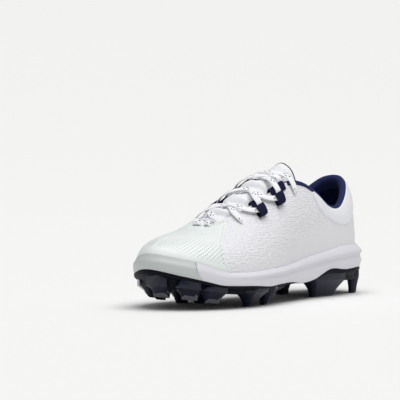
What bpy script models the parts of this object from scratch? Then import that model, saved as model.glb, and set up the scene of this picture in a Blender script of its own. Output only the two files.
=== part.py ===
"""A left softball cleat: stud plate, foam midsole, toe guard, lasted upper, tongue, insole, lace and loops.

The shoe stands on its studs with its toe towards +X and its outer side towards +Y.
All sizes below are in millimetres, measured along the shoe from the back of the heel,
and the meshes are written in metres.
"""

import math

import bmesh
import bpy
import numpy as np

MM = 0.001

# Clearances and walls
GAP = 0.45
WALL = 2.0
COLLAR_WALL = 5.5
COLLAR_PAD_DEPTH = 22.0
RIM_LIP = 1.6
MIDSOLE_LIP = 1.0
GUARD_LIP_SHARE = 0.35
PLATE_THICKNESS = 3.0
PLATE_EDGE_INSET = 2.6
PLATE_CUP_RUN = 10.0
INSOLE_THICKNESS = 4.0
INSOLE_INSET = 0.7
INSOLE_BEVEL = 0.6
COLLAR_SHARE = 0.5

# Share of the half outline, from the heel's back at 0 to the toe's tip at 1, of two places on it
THROAT_SHARE = 0.85
GUARD_SHARE = 0.915
GUARD_STEP = 0.002

# Samples along each half outline and up each section
HALF_STEPS = 36
LIP_STEPS = 2
WALL_STEPS = 8

# The feather line, where the upper meets the footbed: a row for each section of the last
FEATHER_COLUMNS = ("share", "along", "lateral", "medial")
FEATHER = [
    (0.00, 5.0, 0.0, 0.0),
    (0.07, 9.0, 14.5, -14.5),
    (0.15, 22.0, 26.0, -25.5),
    (0.24, 45.0, 31.0, -29.5),
    (0.32, 66.0, 31.8, -28.5),
    (0.40, 88.0, 32.0, -26.0),
    (0.47, 108.0, 33.5, -25.5),
    (0.53, 126.0, 36.5, -28.0),
    (0.60, 146.0, 41.0, -33.0),
    (0.67, 166.0, 44.6, -39.0),
    (0.74, 187.0, 45.5, -43.3),
    (0.80, 206.0, 42.5, -43.8),
    (0.85, 218.5, 37.5, -41.0),
    (0.90, 232.5, 29.5, -35.5),
    (0.95, 246.0, 16.5, -26.0),
    (1.00, 255.5, -6.0, -6.0),
]

# The free edge of the upper: the collar from the heel, then the throat down to its lowest point
EDGE_COLUMNS = ("share", "along", "lateral", "medial", "height")
EDGE = [
    (0.00, 13.5, 0.0, 0.0, 99.5),
    (0.07, 18.5, 11.5, -11.5, 97.0),
    (0.15, 31.0, 21.5, -21.0, 86.5),
    (0.24, 47.5, 27.5, -26.5, 76.0),
    (0.32, 62.0, 28.3, -27.0, 77.8),
    (0.40, 79.5, 27.2, -24.5, 90.3),
    (0.47, 95.5, 24.6, -19.8, 98.0),
    (0.53, 110.0, 22.2, -16.5, 98.8),
    (0.60, 131.0, 21.2, -14.2, 91.8),
    (0.67, 152.0, 19.2, -14.0, 82.6),
    (0.74, 171.0, 15.0, -15.5, 75.0),
    (0.80, 183.5, 7.5, -15.0, 69.0),
    (0.85, 189.5, -5.5, -5.5, 64.3),
]

# The ridge of the vamp, from the throat to the toe
RIDGE_COLUMNS = ("share", "along", "across", "height")
RIDGE = [
    (0.85, 189.5, -5.5, 64.3),
    (0.90, 203.5, -5.7, 62.3),
    (0.95, 217.5, -5.9, 60.3),
    (1.00, 231.0, -6.0, 57.5),
]

# How each section leaves the feather line and reaches the free edge.
# flare and lean are degrees from the vertical, outwards and inwards, heading is the plan direction
# at the edge in degrees (0 forwards, 90 across, 180 backwards), rise and reach are shares of the span
SECTION_COLUMNS = ("share", "flare", "rise", "lean", "reach", "heading")
SECTION = [
    (0.00, 3.0, 0.42, 34.0, 0.24, 0.0),
    (0.07, 3.0, 0.42, 34.0, 0.24, 30.0),
    (0.15, 4.0, 0.42, 32.0, 0.24, 60.0),
    (0.24, 6.0, 0.40, 24.0, 0.26, 84.0),
    (0.32, 8.0, 0.36, 22.0, 0.28, 90.0),
    (0.40, 9.0, 0.34, 24.0, 0.30, 90.0),
    (0.47, 10.0, 0.34, 28.0, 0.32, 90.0),
    (0.53, 10.0, 0.34, 33.0, 0.34, 90.0),
    (0.60, 12.0, 0.35, 39.0, 0.34, 91.0),
    (0.67, 12.0, 0.36, 45.0, 0.35, 93.0),
    (0.74, 12.0, 0.37, 54.0, 0.38, 98.0),
    (0.80, 12.0, 0.38, 66.0, 0.42, 105.0),
    (0.85, 12.0, 0.39, 82.0, 0.45, 114.0),
    (0.90, 12.0, 0.40, 82.0, 0.46, 130.0),
    (0.95, 12.0, 0.41, 78.0, 0.46, 152.0),
    (1.00, 12.0, 0.44, 75.0, 0.46, 180.0),
]

# How far back the vamp overlay reaches at each height up the last, and how far down the heel panel reaches
VAMP_COLUMNS = ("up", "share")
VAMP = [
    (0.10, 0.815),
    (0.28, 0.842),
    (0.50, 0.838),
    (0.72, 0.816),
    (0.85, 0.799),
    (1.00, 0.763),
]
HEEL_COLUMNS = ("share", "up")
HEEL = [
    (0.000, 0.600),
    (0.140, 0.565),
    (0.200, 0.545),
    (0.250, 0.630),
    (0.320, 0.715),
    (0.370, 0.745),
    (0.405, 0.820),
    (0.418, 0.930),
]
OVERLAY_GAP = 0.75
OVERLAY_WALL = 0.5
OVERLAY_TOP = 0.965
OVERLAY_ROWS = 8
VAMP_STEPS = 12
HEEL_STEPS = 13
HEEL_ROWS = 4

# The side of the sole: heights of the plate's edge, the crease and the rim, and the wall's standing out
SOLE_COLUMNS = ("share", "plate_edge", "crease", "rim", "ledge")
SOLE = [
    (0.00, 22.0, 34.5, 43.0, 7.0),
    (0.07, 21.8, 35.0, 43.0, 6.8),
    (0.15, 23.2, 36.0, 43.0, 6.0),
    (0.24, 22.5, 35.0, 42.8, 5.2),
    (0.32, 24.0, 33.0, 40.3, 4.8),
    (0.40, 16.9, 31.0, 37.5, 4.6),
    (0.47, 14.8, 29.0, 34.8, 4.6),
    (0.53, 16.8, 27.5, 32.4, 4.6),
    (0.60, 17.0, 26.5, 31.2, 4.6),
    (0.67, 16.4, 26.0, 30.6, 4.4),
    (0.74, 18.2, 25.5, 29.8, 4.2),
    (0.80, 19.2, 25.8, 30.0, 4.0),
    (0.85, 20.3, 27.5, 31.6, 4.0),
    (0.90, 24.5, 32.0, 37.3, 4.0),
    (0.95, 29.0, 36.5, 41.5, 4.0),
    (1.00, 33.5, 40.0, 45.0, 4.0),
]

# Heights along the shoe of the footbed and of the plate's underside
FLOOR_COLUMNS = ("along", "footbed", "underside")
FLOOR = [
    (-10.0, 30.0, 13.2),
    (40.0, 28.5, 12.7),
    (80.0, 26.5, 13.4),
    (110.0, 24.8, 14.2),
    (140.0, 22.4, 12.8),
    (165.0, 21.0, 11.2),
    (185.0, 21.0, 11.0),
    (210.0, 23.2, 12.6),
    (222.0, 25.6, 14.1),
    (235.0, 29.0, 16.0),
    (247.0, 33.0, 18.2),
    (256.0, 36.6, 20.0),
    (270.0, 42.2, 23.0),
]

# Studs of the plate: centre, turn in degrees, size at the plate, size and height of the tip
STUD_COLUMNS = (
    *("name", "along", "across", "turn"),
    *("root_long", "root_wide", "tip_long", "tip_wide", "tip_height"),
)
STUDS = [
    ("heel_lateral_front", 62.0, 21.5, -4.0, 46.0, 17.0, 27.0, 7.5, 0.0),
    ("heel_lateral_back", 14.5, 19.0, 38.0, 15.0, 10.5, 9.5, 6.5, 0.0),
    ("heel_medial_front", 64.0, -20.5, 4.0, 36.0, 16.0, 18.0, 7.5, 0.0),
    ("heel_medial_back", 14.5, -18.5, -38.0, 15.0, 10.5, 9.5, 6.5, 0.0),
    ("waist_fin", 139.0, 29.0, 30.0, 15.0, 8.0, 7.0, 4.0, 4.5),
    ("waist_lateral", 154.0, 32.0, 18.0, 19.0, 12.5, 8.0, 6.0, 0.0),
    ("ball_lateral", 177.0, 33.5, 0.0, 27.0, 17.0, 11.0, 7.5, 0.0),
    ("mid_lateral", 217.0, 27.0, -25.0, 25.0, 15.5, 12.5, 7.5, 4.8),
    ("toe_lateral", 233.0, 16.5, -45.0, 24.0, 14.5, 13.0, 7.5, 8.0),
    ("toe_tip", 241.5, -5.5, 90.0, 22.0, 14.0, 14.0, 8.0, 9.8),
    ("toe_medial", 231.0, -26.0, 45.0, 23.0, 14.5, 12.5, 7.5, 8.0),
    ("mid_medial", 212.0, -32.0, 15.0, 25.0, 15.5, 12.5, 7.5, 4.3),
    ("ball_medial", 184.0, -31.0, -6.0, 26.0, 16.5, 11.0, 7.5, 0.0),
    ("waist_medial", 157.0, -23.5, -20.0, 19.0, 12.5, 8.0, 6.0, 0.0),
    ("centre", 198.0, -2.0, 90.0, 20.0, 13.0, 10.0, 7.0, 2.0),
]
STUD_FLARE = 2.2
STUD_RING_SHARES = (0.0, 0.12, 0.34, 0.62, 1.0)
STUD_CHAMFER = 0.28

# The tongue: room inside the upper's wall, crown over the throat, its own wall, and its tuck under the edges
TONGUE_COLUMNS = ("share", "room", "crown", "wall", "tuck")
TONGUE = [
    (0.885, 0.9, 0.0, 2.6, 0.15),
    (0.865, 1.1, 0.0, 2.6, 0.16),
    (0.84, 2.0, 0.8, 2.8, 0.18),
    (0.81, 1.9, 2.4, 3.0, 0.20),
    (0.77, 1.9, 3.6, 3.2, 0.20),
    (0.72, 2.4, 4.6, 3.5, 0.20),
    (0.67, 2.4, 5.6, 3.8, 0.20),
    (0.62, 2.4, 6.6, 4.2, 0.20),
    (0.57, 2.4, 8.0, 4.6, 0.20),
    (0.53, 1.6, 10.4, 5.0, 0.20),
    (0.495, 1.2, 14.0, 5.5, 0.18),
    (0.465, 1.0, 18.0, 5.5, 0.16),
]
TONGUE_COLUMN_COUNT = 17

# The lace: a bar at each end of the throat and crossings between, from a lower to an upper pair of places
LACE_COLUMNS = ("name", "lower", "lower_end", "upper", "upper_end", "lift", "strips")
LACES = [
    ("lace_base_bar", 0.832, "short", 0.832, "short", 2.2, 1),
    ("lace_cross_1", 0.796, "under", 0.764, "under", 0.0, 1),
    ("lace_cross_2", 0.744, "hole", 0.679, "loop", 0.0, 2),
    ("lace_cross_3", 0.655, "loop", 0.604, "loop", 0.0, 2),
    ("lace_cross_4", 0.580, "loop", 0.552, "under", 0.0, 2),
    ("lace_top_bar", 0.520, "hole", 0.520, "hole", 0.3, 1),
]
# Where a strip ends beside the throat's edge: two points, down the upper from the edge and off its surface
LACE_END_COLUMNS = ("down", "off", "next_down", "next_off")
LACE_ENDS = {
    "short": (2.5, 2.8, -1.0, 2.5),
    "hole": (8.5, 2.1, -1.0, 1.8),
    "loop": (3.2, 3.7, -1.5, 3.7),
    "under": (-3.0, -2.2, -6.0, -1.4),
}
LACE_WIDTH = 5.2
LACE_THICKNESS = 1.6
LACE_CLEAR = 1.25
LACE_STEPS = 11
LACE_SECTION = [(1, 0), (0.75, 0.9), (0, 1), (-0.75, 0.9), (-1, 0), (-0.75, -0.9), (0, -1), (0.75, -0.9)]

# The webbing loops: from inside the throat's edge, over it, down the upper and back to a free fold
LOOP_COLUMNS = ("name", "share")
LOOPS = [
    ("loop_lower", 0.667),
    ("loop_upper", 0.592),
]
LOOP_THICKNESS = 1.2
LOOP_WIDTH_SHARE = 0.028
LOOP_INNER_LEG = 6.0
LOOP_OUTER_LEG = 13.0
LOOP_FREE_END = 5.0
LOOP_TUNNEL = 2.2
LOOP_GAP = 0.55


def rows_of(table, columns):
    """The table as one array for each named column."""
    return {name: np.array([row[i] for row in table]) for i, name in enumerate(columns)}


def curve(knots, values, at):
    """A smooth curve through the values. Each knot's slope is that of the parabola through its neighbours."""
    knots = np.asarray(knots, float)
    values = np.asarray(values, float)
    steps = np.diff(knots)
    rates = np.diff(values) / steps
    slopes = np.empty_like(values)
    slopes[1:-1] = (rates[:-1] * steps[1:] + rates[1:] * steps[:-1]) / (steps[:-1] + steps[1:])
    slopes[0] = 2 * rates[0] - slopes[1]
    slopes[-1] = 2 * rates[-1] - slopes[-2]
    at = np.clip(at, knots[0], knots[-1])
    i = np.clip(np.searchsorted(knots, at, side="right") - 1, 0, len(steps) - 1)
    u = (at - knots[i]) / steps[i]
    rise = values[i + 1] - values[i]
    run_in = slopes[i] * steps[i]
    run_out = slopes[i + 1] * steps[i]
    bend = 3 * rise - 2 * run_in - run_out
    return values[i] + u * (run_in + u * (bend + u * (run_in + run_out - 2 * rise)))


def signed_curve(share, lateral, medial, at, closed):
    """A curve over the signed share, positive on the lateral side, through both sides' values."""
    knots = np.concatenate([-share[:0:-1], share])
    values = np.concatenate([medial[:0:-1], lateral])
    if closed:
        knots = np.concatenate([-2 + share[-3:-1], knots, 2 - share[-2:-4:-1]])
        values = np.concatenate([lateral[-3:-1], values, medial[-2:-4:-1]])
    return curve(knots, values, at)


feather = rows_of(FEATHER, FEATHER_COLUMNS)
edge = rows_of(EDGE, EDGE_COLUMNS)
ridge = rows_of(RIDGE, RIDGE_COLUMNS)
section = rows_of(SECTION, SECTION_COLUMNS)
vamp = rows_of(VAMP, VAMP_COLUMNS)
heel = rows_of(HEEL, HEEL_COLUMNS)
sole = rows_of(SOLE, SOLE_COLUMNS)
floor = rows_of(FLOOR, FLOOR_COLUMNS)


def both(table, column, at):
    """A column that is the same on both sides, at signed shares."""
    return signed_curve(table["share"], table[column], table[column], at, closed=True)


def footbed(along):
    return curve(floor["along"], floor["footbed"], along)


def underside(along):
    return curve(floor["along"], floor["underside"], along)


def wrapped(at):
    """Signed shares brought back between -1 and 1, past the toe's tip to the other side."""
    return np.where(at > 1, at - 2, np.where(at < -1, at + 2, at))


def feather_line(at):
    """Points of the feather line and its outward direction in plan."""

    def plan(p):
        along = signed_curve(feather["share"], feather["along"], feather["along"], p, closed=True)
        across = signed_curve(feather["share"], feather["lateral"], feather["medial"], p, closed=True)
        return along, across

    along, across = plan(at)
    step = 1e-3
    ahead = np.array(plan(wrapped(at + step)))
    behind = np.array(plan(wrapped(at - step)))
    tangent = ahead - behind
    tangent /= np.linalg.norm(tangent, axis=0)
    outward = np.stack([-tangent[1], tangent[0], np.zeros_like(along)], -1)
    return np.stack([along, across, footbed(along) + GAP], -1), outward


def free_edge(at):
    """Points of the collar and throat edge, and of the vamp's ridge beyond the throat."""
    size = np.abs(at)
    share = edge["share"]
    inner = np.clip(at, -THROAT_SHARE, THROAT_SHARE)
    along = signed_curve(share, edge["along"], edge["along"], inner, closed=False)
    across = signed_curve(share, edge["lateral"], edge["medial"], inner, closed=False)
    height = signed_curve(share, edge["height"], edge["height"], inner, closed=False)
    on_ridge = size > THROAT_SHARE
    points = [
        np.where(on_ridge, curve(ridge["share"], ridge[column], size), value)
        for column, value in (("along", along), ("across", across), ("height", height))
    ]
    return np.stack(points, -1)


def last(at, up):
    """The upper's outer surface: at is the signed share round it, up runs from feather line to free edge."""
    base, outward = feather_line(at)
    top = free_edge(at)
    values = {name: both(section, name, at) for name in SECTION_COLUMNS[1:-1]}
    # The plan direction turns through the same angle on either side, to the other hand
    heading = np.radians(np.sign(at) * both(section, "heading", np.abs(at)))
    flare = np.radians(values["flare"])[:, None]
    lean = np.radians(values["lean"])[:, None]
    vertical = np.array([0.0, 0.0, 1.0])
    inward = np.stack([np.cos(heading), -np.sin(heading), np.zeros_like(heading)], -1)
    leaving = np.cos(flare) * vertical + np.sin(flare) * outward
    reaching = np.cos(lean) * vertical + np.sin(lean) * inward
    span = np.linalg.norm(top - base, axis=1, keepdims=True)
    second = base + leaving * values["rise"][:, None] * span
    third = top - reaching * values["reach"][:, None] * span
    s = up[:, None]
    return base * (1 - s) ** 3 + 3 * second * s * (1 - s) ** 2 + 3 * third * s**2 * (1 - s) + top * s**3


def up_at_height(at, height):
    """How far up the last each share passes the given height."""
    low = np.zeros_like(at)
    high = np.full_like(at, 0.6)
    for _ in range(30):
        middle = (low + high) / 2
        below = last(at, middle)[:, 2] < height
        low = np.where(below, middle, low)
        high = np.where(below, high, middle)
    return (low + high) / 2


def outward_normals(at, up):
    """Unit normals of the last, pointing out of the shoe."""
    step = 2e-3
    round_shoe = last(wrapped(at + step), up) - last(wrapped(at - step), up)
    up_wall = last(at, np.clip(up + step, 0, 1)) - last(at, np.clip(up - step, 0, 1))
    normals = np.cross(up_wall, round_shoe)
    return normals / np.linalg.norm(normals, axis=1, keepdims=True)


def loop_shares():
    """Signed shares of the closed loop, evenly along the outline: to the toe laterally, and back medially."""
    fine = np.linspace(0.0, 1.0, 1001)
    widths = feather_line(fine)[0] - feather_line(-fine)[0] * (-1, 1, 0)
    steps = np.linalg.norm(np.diff(widths, axis=0), axis=1) / 2
    run = np.concatenate([[0], np.cumsum(steps)])
    half = np.interp(np.linspace(0, run[-1], HALF_STEPS), run, fine)
    half[np.argmin(np.abs(half - THROAT_SHARE))] = THROAT_SHARE
    half[np.argmin(np.abs(half - GUARD_SHARE))] = GUARD_SHARE
    half = np.sort(np.append(half, GUARD_SHARE + GUARD_STEP))
    return np.concatenate([half, -half[-2:0:-1]])


LOOP = loop_shares()
COUNT = len(LOOP)
GUARD_FIRST = int(np.argmin(np.abs(LOOP[: HALF_STEPS + 1] - GUARD_SHARE)))
THROAT_INDEX = int(np.argmin(np.abs(LOOP[: HALF_STEPS + 1] - THROAT_SHARE)))


def level_ups():
    """For each level up the wall, the last's share at each place. The first levels end at the rim."""
    rim = up_at_height(LOOP, both(sole, "rim", LOOP))
    levels = [rim * i / LIP_STEPS for i in range(LIP_STEPS)]
    levels += [rim + (1 - rim) * i / WALL_STEPS for i in range(WALL_STEPS + 1)]
    return levels


LEVELS = level_ups()


def new_object(name, points, faces, material, parent, sheet=False):
    """A mesh object from points in millimetres, with doubled points merged and a closed mesh facing out."""
    mesh = bpy.data.meshes.new(name)
    bm = bmesh.new()
    made = [bm.verts.new([float(c) * MM for c in point]) for point in points]
    for face in faces:
        corners = list(dict.fromkeys(face))
        if len(corners) > 2:
            bm.faces.new([made[i] for i in corners])
    bmesh.ops.remove_doubles(bm, verts=bm.verts, dist=0.002 * MM)
    if not sheet:
        bmesh.ops.recalc_face_normals(bm, faces=bm.faces)
    bm.to_mesh(mesh)
    bm.free()
    mesh.materials.append(material)
    mesh.shade_smooth()
    mesh.set_sharp_from_angle(angle=math.radians(40))
    obj = bpy.data.objects.new(name, mesh)
    bpy.context.scene.collection.objects.link(obj)
    obj.parent = parent
    return obj


def band(first, second, count, closed=True):
    """Quads between two rows of vertex indices that start at first and second."""
    steps = count if closed else count - 1
    return [
        (first + i, first + (i + 1) % count, second + (i + 1) % count, second + i) for i in range(steps)
    ]


def edge_distance(points, ring):
    """Plan distance from each point to the closed ring."""
    starts = ring[:, :2]
    runs = np.roll(starts, -1, axis=0) - starts
    offsets = points[:, None, :2] - starts[None]
    share = np.clip((offsets * runs).sum(-1) / (runs**2).sum(-1), 0, 1)
    return np.linalg.norm(offsets - share[..., None] * runs, axis=-1).min(1)


RUNG_INSETS = (4.0, 11.0)


def rung_shares(width):
    """Shares across a rung: two insets of fixed size from either edge, and the middle."""
    near = [min(inset / width, limit) for inset, limit in zip(RUNG_INSETS, (0.16, 0.34))]
    return near + [0.5] + [1 - share for share in reversed(near)]


def cap(points, faces, ring_start, ring, height):
    """Fills a loop with rungs from side to side. height gives z from the plan and distance to the loop."""
    rungs = []
    for k in range(1, HALF_STEPS):
        left, right = ring[k], ring[COUNT - k]
        shares = rung_shares(np.linalg.norm(left[:2] - right[:2]))
        inner = np.array([left + (right - left) * share for share in shares])
        inner[:, 2] = height(inner[:, 0], edge_distance(inner, ring), left[2])
        first = len(points)
        points.extend(inner)
        rungs.append([ring_start + k, *range(first, first + len(inner)), ring_start + COUNT - k])
    for row, following in zip(rungs, rungs[1:]):
        for a, b, c, d in zip(row, row[1:], following[1:], following):
            faces.append((a, b, c, d))
    for end, row in ((ring_start, rungs[0]), (ring_start + HALF_STEPS, rungs[-1])):
        for a, b in zip(row, row[1:]):
            faces.append((a, b, end))


def ringed_solid(name, rings, low_height, high_height, material, parent):
    """A closed solid from rings, capped below the first ring and inside the last."""
    points = [point for ring in rings for point in ring]
    faces = []
    for i in range(len(rings) - 1):
        faces += band(i * COUNT, (i + 1) * COUNT, COUNT)
    cap(points, faces, 0, rings[0], low_height)
    cap(points, faces, (len(rings) - 1) * COUNT, rings[-1], high_height)
    return new_object(name, points, faces, material, parent)


def falloff(distance, run):
    """1 at the edge, 0 beyond the run, with a smooth slope between."""
    left = np.clip(1 - distance / run, 0, 1)
    return left * left * (3 - 2 * left)


def side_rings():
    """Rings of the sole's side, without the toe guard's step: bottom edge, lower wall, crease, rim corner."""
    base, outward = feather_line(LOOP)
    ledge = both(sole, "ledge", LOOP)[:, None]
    bottom = both(sole, "plate_edge", LOOP)
    crease = both(sole, "crease", LOOP)
    rim = both(sole, "rim", LOOP)
    flat = base * (1, 1, 0)
    up = np.array([0.0, 0.0, 1.0])
    lower = bottom + (crease - bottom) * 0.45
    at_rim = last(LOOP, LEVELS[LIP_STEPS])
    rim_normal = outward_normals(LOOP, LEVELS[LIP_STEPS]) * (1, 1, 0)
    rim_corner = (at_rim + rim_normal * (GAP + RIM_LIP)) * (1, 1, 0)
    return [
        flat + outward * (ledge - 0.8) + up * bottom[:, None],
        flat + outward * ledge + up * lower[:, None],
        flat + outward * ledge + up * crease[:, None],
        rim_corner + up * (rim - 0.8)[:, None],
    ]


def recess_rings():
    """Rings of the midsole's recess, a gap outside the upper: at the rim, and down to the footbed."""
    rings = []
    for level in range(LIP_STEPS, -1, -1):
        outward = outward_normals(LOOP, LEVELS[level]) * (1, 1, 0)
        outward /= np.linalg.norm(outward, axis=1, keepdims=True)
        ring = last(LOOP, LEVELS[level]) + outward * GAP
        if level == 0:
            ring[:, 2] -= GAP
        rings.append(ring)
    return rings


def in_guard(index):
    """Whether a place of the loop lies behind the toe guard."""
    return GUARD_FIRST < index < COUNT - GUARD_FIRST


GUARDED = np.array([in_guard(i) for i in range(COUNT)])[:, None]


def guard_seat():
    """Behind the toe guard: the midsole's lowered lip beside the upper, and its stepped wall in plan."""
    recess = recess_rings()
    outward = feather_line(LOOP)[1]
    lip = recess[1] + (recess[0] - recess[1]) * GUARD_LIP_SHARE
    bulge = np.clip(((lip - recess[-1]) * outward).sum(1, keepdims=True), 0, None)
    return lip, recess[-1] + outward * (bulge + MIDSOLE_LIP)


def midsole_rings():
    """The midsole's rings. Behind the toe guard its wall steps in by the guard's thickness."""
    recess = recess_rings()
    lip, wall = guard_seat()
    rings = []
    for ring in side_rings():
        inner = wall.copy()
        inner[:, 2] = np.minimum(ring[:, 2], lip[:, 2])
        rings.append(np.where(GUARDED, inner, ring))
    rings[0][:, 2] += GAP
    recess[0] = np.where(GUARDED, lip, recess[0])
    return rings + recess


def plate_top(along, distance, edge_height):
    centre = underside(along) + PLATE_THICKNESS
    return centre + (edge_height - centre) * falloff(distance, PLATE_CUP_RUN)


def make_midsole(material, parent):
    """Foam unit: sits in the plate's cup, carries the footbed and holds the upper in its recess."""
    return ringed_solid(
        "midsole",
        midsole_rings(),
        lambda along, distance, edge_height: plate_top(along, distance, edge_height - GAP) + GAP,
        lambda along, distance, edge_height: footbed(along),
        material,
        parent,
    )


def make_plate(material, parent):
    """The moulded plate without its studs: a shallow cup that follows the midsole's wavy lower edge."""
    top = side_rings()[0]
    outward = feather_line(LOOP)[1]
    foot = top - outward * PLATE_EDGE_INSET
    foot[:, 2] = underside(foot[:, 0]) + 0.6
    middle = (top * 2 + foot) / 3 + outward * 0.4
    return ringed_solid(
        "outsole",
        [foot, middle, top],
        lambda along, distance, edge_height: underside(along),
        plate_top,
        material,
        parent,
    )


def stud_ring(long, wide):
    """A rectangle with its corners cut off, centred on the origin."""
    cut = STUD_CHAMFER * wide
    x, y = long / 2, wide / 2
    half = [(x, -y + cut), (x, y - cut), (x - cut, y), (-x + cut, y)]
    return half + [(-a, -b) for a, b in half]


def make_stud(row, material, parent):
    """One stud, flaring into the plate with a hollow curve. It is joined to the plate."""
    stud = dict(zip(STUD_COLUMNS, row))
    turn = math.radians(stud["turn"])
    turned = np.array([[math.cos(turn), math.sin(turn)], [-math.sin(turn), math.cos(turn)]])
    centre = np.array([stud["along"], stud["across"]])
    root = np.array(stud_ring(stud["root_long"], stud["root_wide"])) @ turned + centre
    tip = np.array(stud_ring(stud["tip_long"], stud["tip_wide"])) @ turned + centre
    root_height = underside(root[:, 0]) + PLATE_THICKNESS * 0.5
    # A stud that reaches the ground is cut level, one under the toe spring slopes with the plate
    slope = underside(tip[:, 0]) - underside(stud["along"]) if stud["tip_height"] > 0 else 0
    tip_height = stud["tip_height"] + slope
    points = []
    for share in STUD_RING_SHARES:
        plan = tip + (root - tip) * (1 - share) ** STUD_FLARE
        height = root_height + (tip_height - root_height) * share
        points.extend(np.column_stack([plan, height]))
    sides = len(points) // len(STUD_RING_SHARES)
    faces = [tuple(range(sides)), tuple(range(len(points) - sides, len(points)))]
    for i in range(len(STUD_RING_SHARES) - 1):
        faces += band(i * sides, (i + 1) * sides, sides)
    obj = new_object("stud_" + stud["name"], points, faces, material, parent)
    obj.hide_render = True
    obj.display_type = "WIRE"
    return obj


def make_outsole(material, parent):
    """Plate and studs as the one moulding that they are."""
    plate = make_plate(material, parent)
    for row in STUDS:
        join = plate.modifiers.new("stud_" + row[0], "BOOLEAN")
        join.operation = "UNION"
        join.object = make_stud(row, material, parent)
    return plate


def make_toe_guard(material, parent):
    """The rand round the toe, between the midsole's stepped wall and the line of the sole's side."""
    sides = side_rings()
    recess = recess_rings()
    lip, wall = guard_seat()
    wall = wall + feather_line(LOOP)[1] * GAP
    at = range(GUARD_FIRST + 1, COUNT - GUARD_FIRST)
    sections = []
    for i in at:
        foot = sides[0][i] + (0, 0, GAP)
        over_lip = lip[i] + (0, 0, GAP)
        inner = [(*wall[i][:2], over_lip[2]), (*wall[i][:2], foot[2])]
        sections.append([foot, *(ring[i] for ring in sides[1:]), recess[0][i], over_lip, *inner])
    sections = np.array(sections)
    # Each end stands a gap clear of the midsole's step
    for end, following in ((0, 1), (-1, -2)):
        run = sections[following] - sections[end]
        sections[end] += run * GAP / np.linalg.norm(run, axis=1).mean()
    points = sections.reshape(-1, 3)
    row = len(points) // len(at)
    faces = [tuple(range(row)), tuple(range(len(points) - row, len(points)))]
    for i in range(len(at) - 1):
        faces += band(i * row, (i + 1) * row, row)
    return new_object("toe_guard", points, faces, material, parent)


def wall_thickness(points):
    """The upper's wall at points of the last: thin, and padded towards the collar."""
    collar = free_edge(np.linspace(-COLLAR_SHARE, COLLAR_SHARE, 121))
    down = np.linalg.norm(points[:, None] - collar[None], axis=2).min(1)
    return WALL + (COLLAR_WALL - WALL) * falloff(down, COLLAR_PAD_DEPTH)


def make_upper(material, parent):
    """The lasted shell: one sheet over the last, with its wall towards the foot and a padded collar."""
    rings = [last(LOOP, level) for level in LEVELS]
    points = [point for ring in rings for point in ring]
    faces = []
    for i in range(len(rings) - 1):
        faces += band(i * COUNT, (i + 1) * COUNT, COUNT)
    obj = new_object("upper", points, faces, material, parent, sheet=True)
    places = np.array([vertex.co for vertex in obj.data.vertices]) / MM
    group = obj.vertex_groups.new(name="wall")
    for i, wall in enumerate(wall_thickness(places)):
        group.add([i], float(wall / COLLAR_WALL), "REPLACE")
    solid = obj.modifiers.new("wall", "SOLIDIFY")
    solid.thickness = COLLAR_WALL * MM
    solid.offset = 1
    solid.vertex_group = "wall"
    return obj


def make_overlay(name, at, up, material, parent):
    """A panel laid over the upper: a sheet off its surface on a grid of shares and heights, with its wall."""
    rows, columns = at.shape
    at, up = at.ravel(), up.ravel()
    below_ridge = np.minimum(up, 0.98)
    normals = outward_normals(at, below_ridge)
    # Both sides meet on the vamp's ridge, so a point there takes the mean of their directions
    on_ridge = (np.abs(at) > THROAT_SHARE) & (up > 0.999)
    shared = normals + outward_normals(-at, below_ridge)
    shared /= np.linalg.norm(shared, axis=1, keepdims=True)
    normals = np.where(on_ridge[:, None], shared, normals)
    points = last(at, up) + normals * (OVERLAY_GAP + OVERLAY_WALL)
    faces = []
    for r in range(rows - 1):
        faces += band(r * columns, (r + 1) * columns, columns, closed=False)
    obj = new_object(name, points, faces, material, parent, sheet=True)
    solid = obj.modifiers.new("wall", "SOLIDIFY")
    solid.thickness = OVERLAY_WALL * MM
    solid.offset = 1
    return obj


def make_vamp_overlay(material, parent):
    """The toe's overlay, from the lateral line over the toe to the medial line, between rim and throat."""
    rim = both(sole, "rim", LOOP) + OVERLAY_GAP
    foot = up_at_height(LOOP, rim)
    at, up = [], []
    for level in np.linspace(0, 1, OVERLAY_ROWS):
        # The line's share depends on the height, and the height on the share, so two passes settle both
        line = 0.82
        for _ in range(3):
            low = np.interp(line, LOOP[: HALF_STEPS + 1], foot[: HALF_STEPS + 1])
            line = curve(vamp["up"], vamp["share"], low + (OVERLAY_TOP - low) * level)
        share = line + (1 - line) * np.linspace(0, 1, VAMP_STEPS)
        low = np.interp(share, LOOP[: HALF_STEPS + 1], foot[: HALF_STEPS + 1])
        top = np.where(share > THROAT_SHARE + 0.005, 1.0, OVERLAY_TOP)
        at.append(np.concatenate([share, -share[-2::-1]]))
        height = low + (top - low) * level
        up.append(np.concatenate([height, height[-2::-1]]))
    return make_overlay("vamp_overlay", np.array(at), np.array(up), material, parent)


def make_heel_panel(material, parent):
    """The panel round the heel, below the collar."""
    share = heel["share"][-1] * np.linspace(-1, 1, 2 * HEEL_STEPS + 1)
    low = curve(heel["share"], heel["up"], np.abs(share))
    level = np.linspace(0, 1, HEEL_ROWS)[:, None]
    at = np.repeat(share[None], HEEL_ROWS, axis=0)
    return make_overlay("heel_panel", at, low + (OVERLAY_TOP - low) * level, material, parent)


def make_insole(material, parent):
    """The loose sockliner, inside the upper's lower edge and on the footbed."""
    base, outward = feather_line(LOOP)
    foot = base - outward * (WALL + INSOLE_INSET)
    foot[:, 2] = footbed(foot[:, 0]) + GAP
    top = foot - outward * INSOLE_BEVEL + (0, 0, INSOLE_THICKNESS)
    return ringed_solid(
        "insole",
        [foot, top],
        lambda along, distance, edge_height: footbed(along) + GAP,
        lambda along, distance, edge_height: footbed(along) + GAP + INSOLE_THICKNESS,
        material,
        parent,
    )


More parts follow.
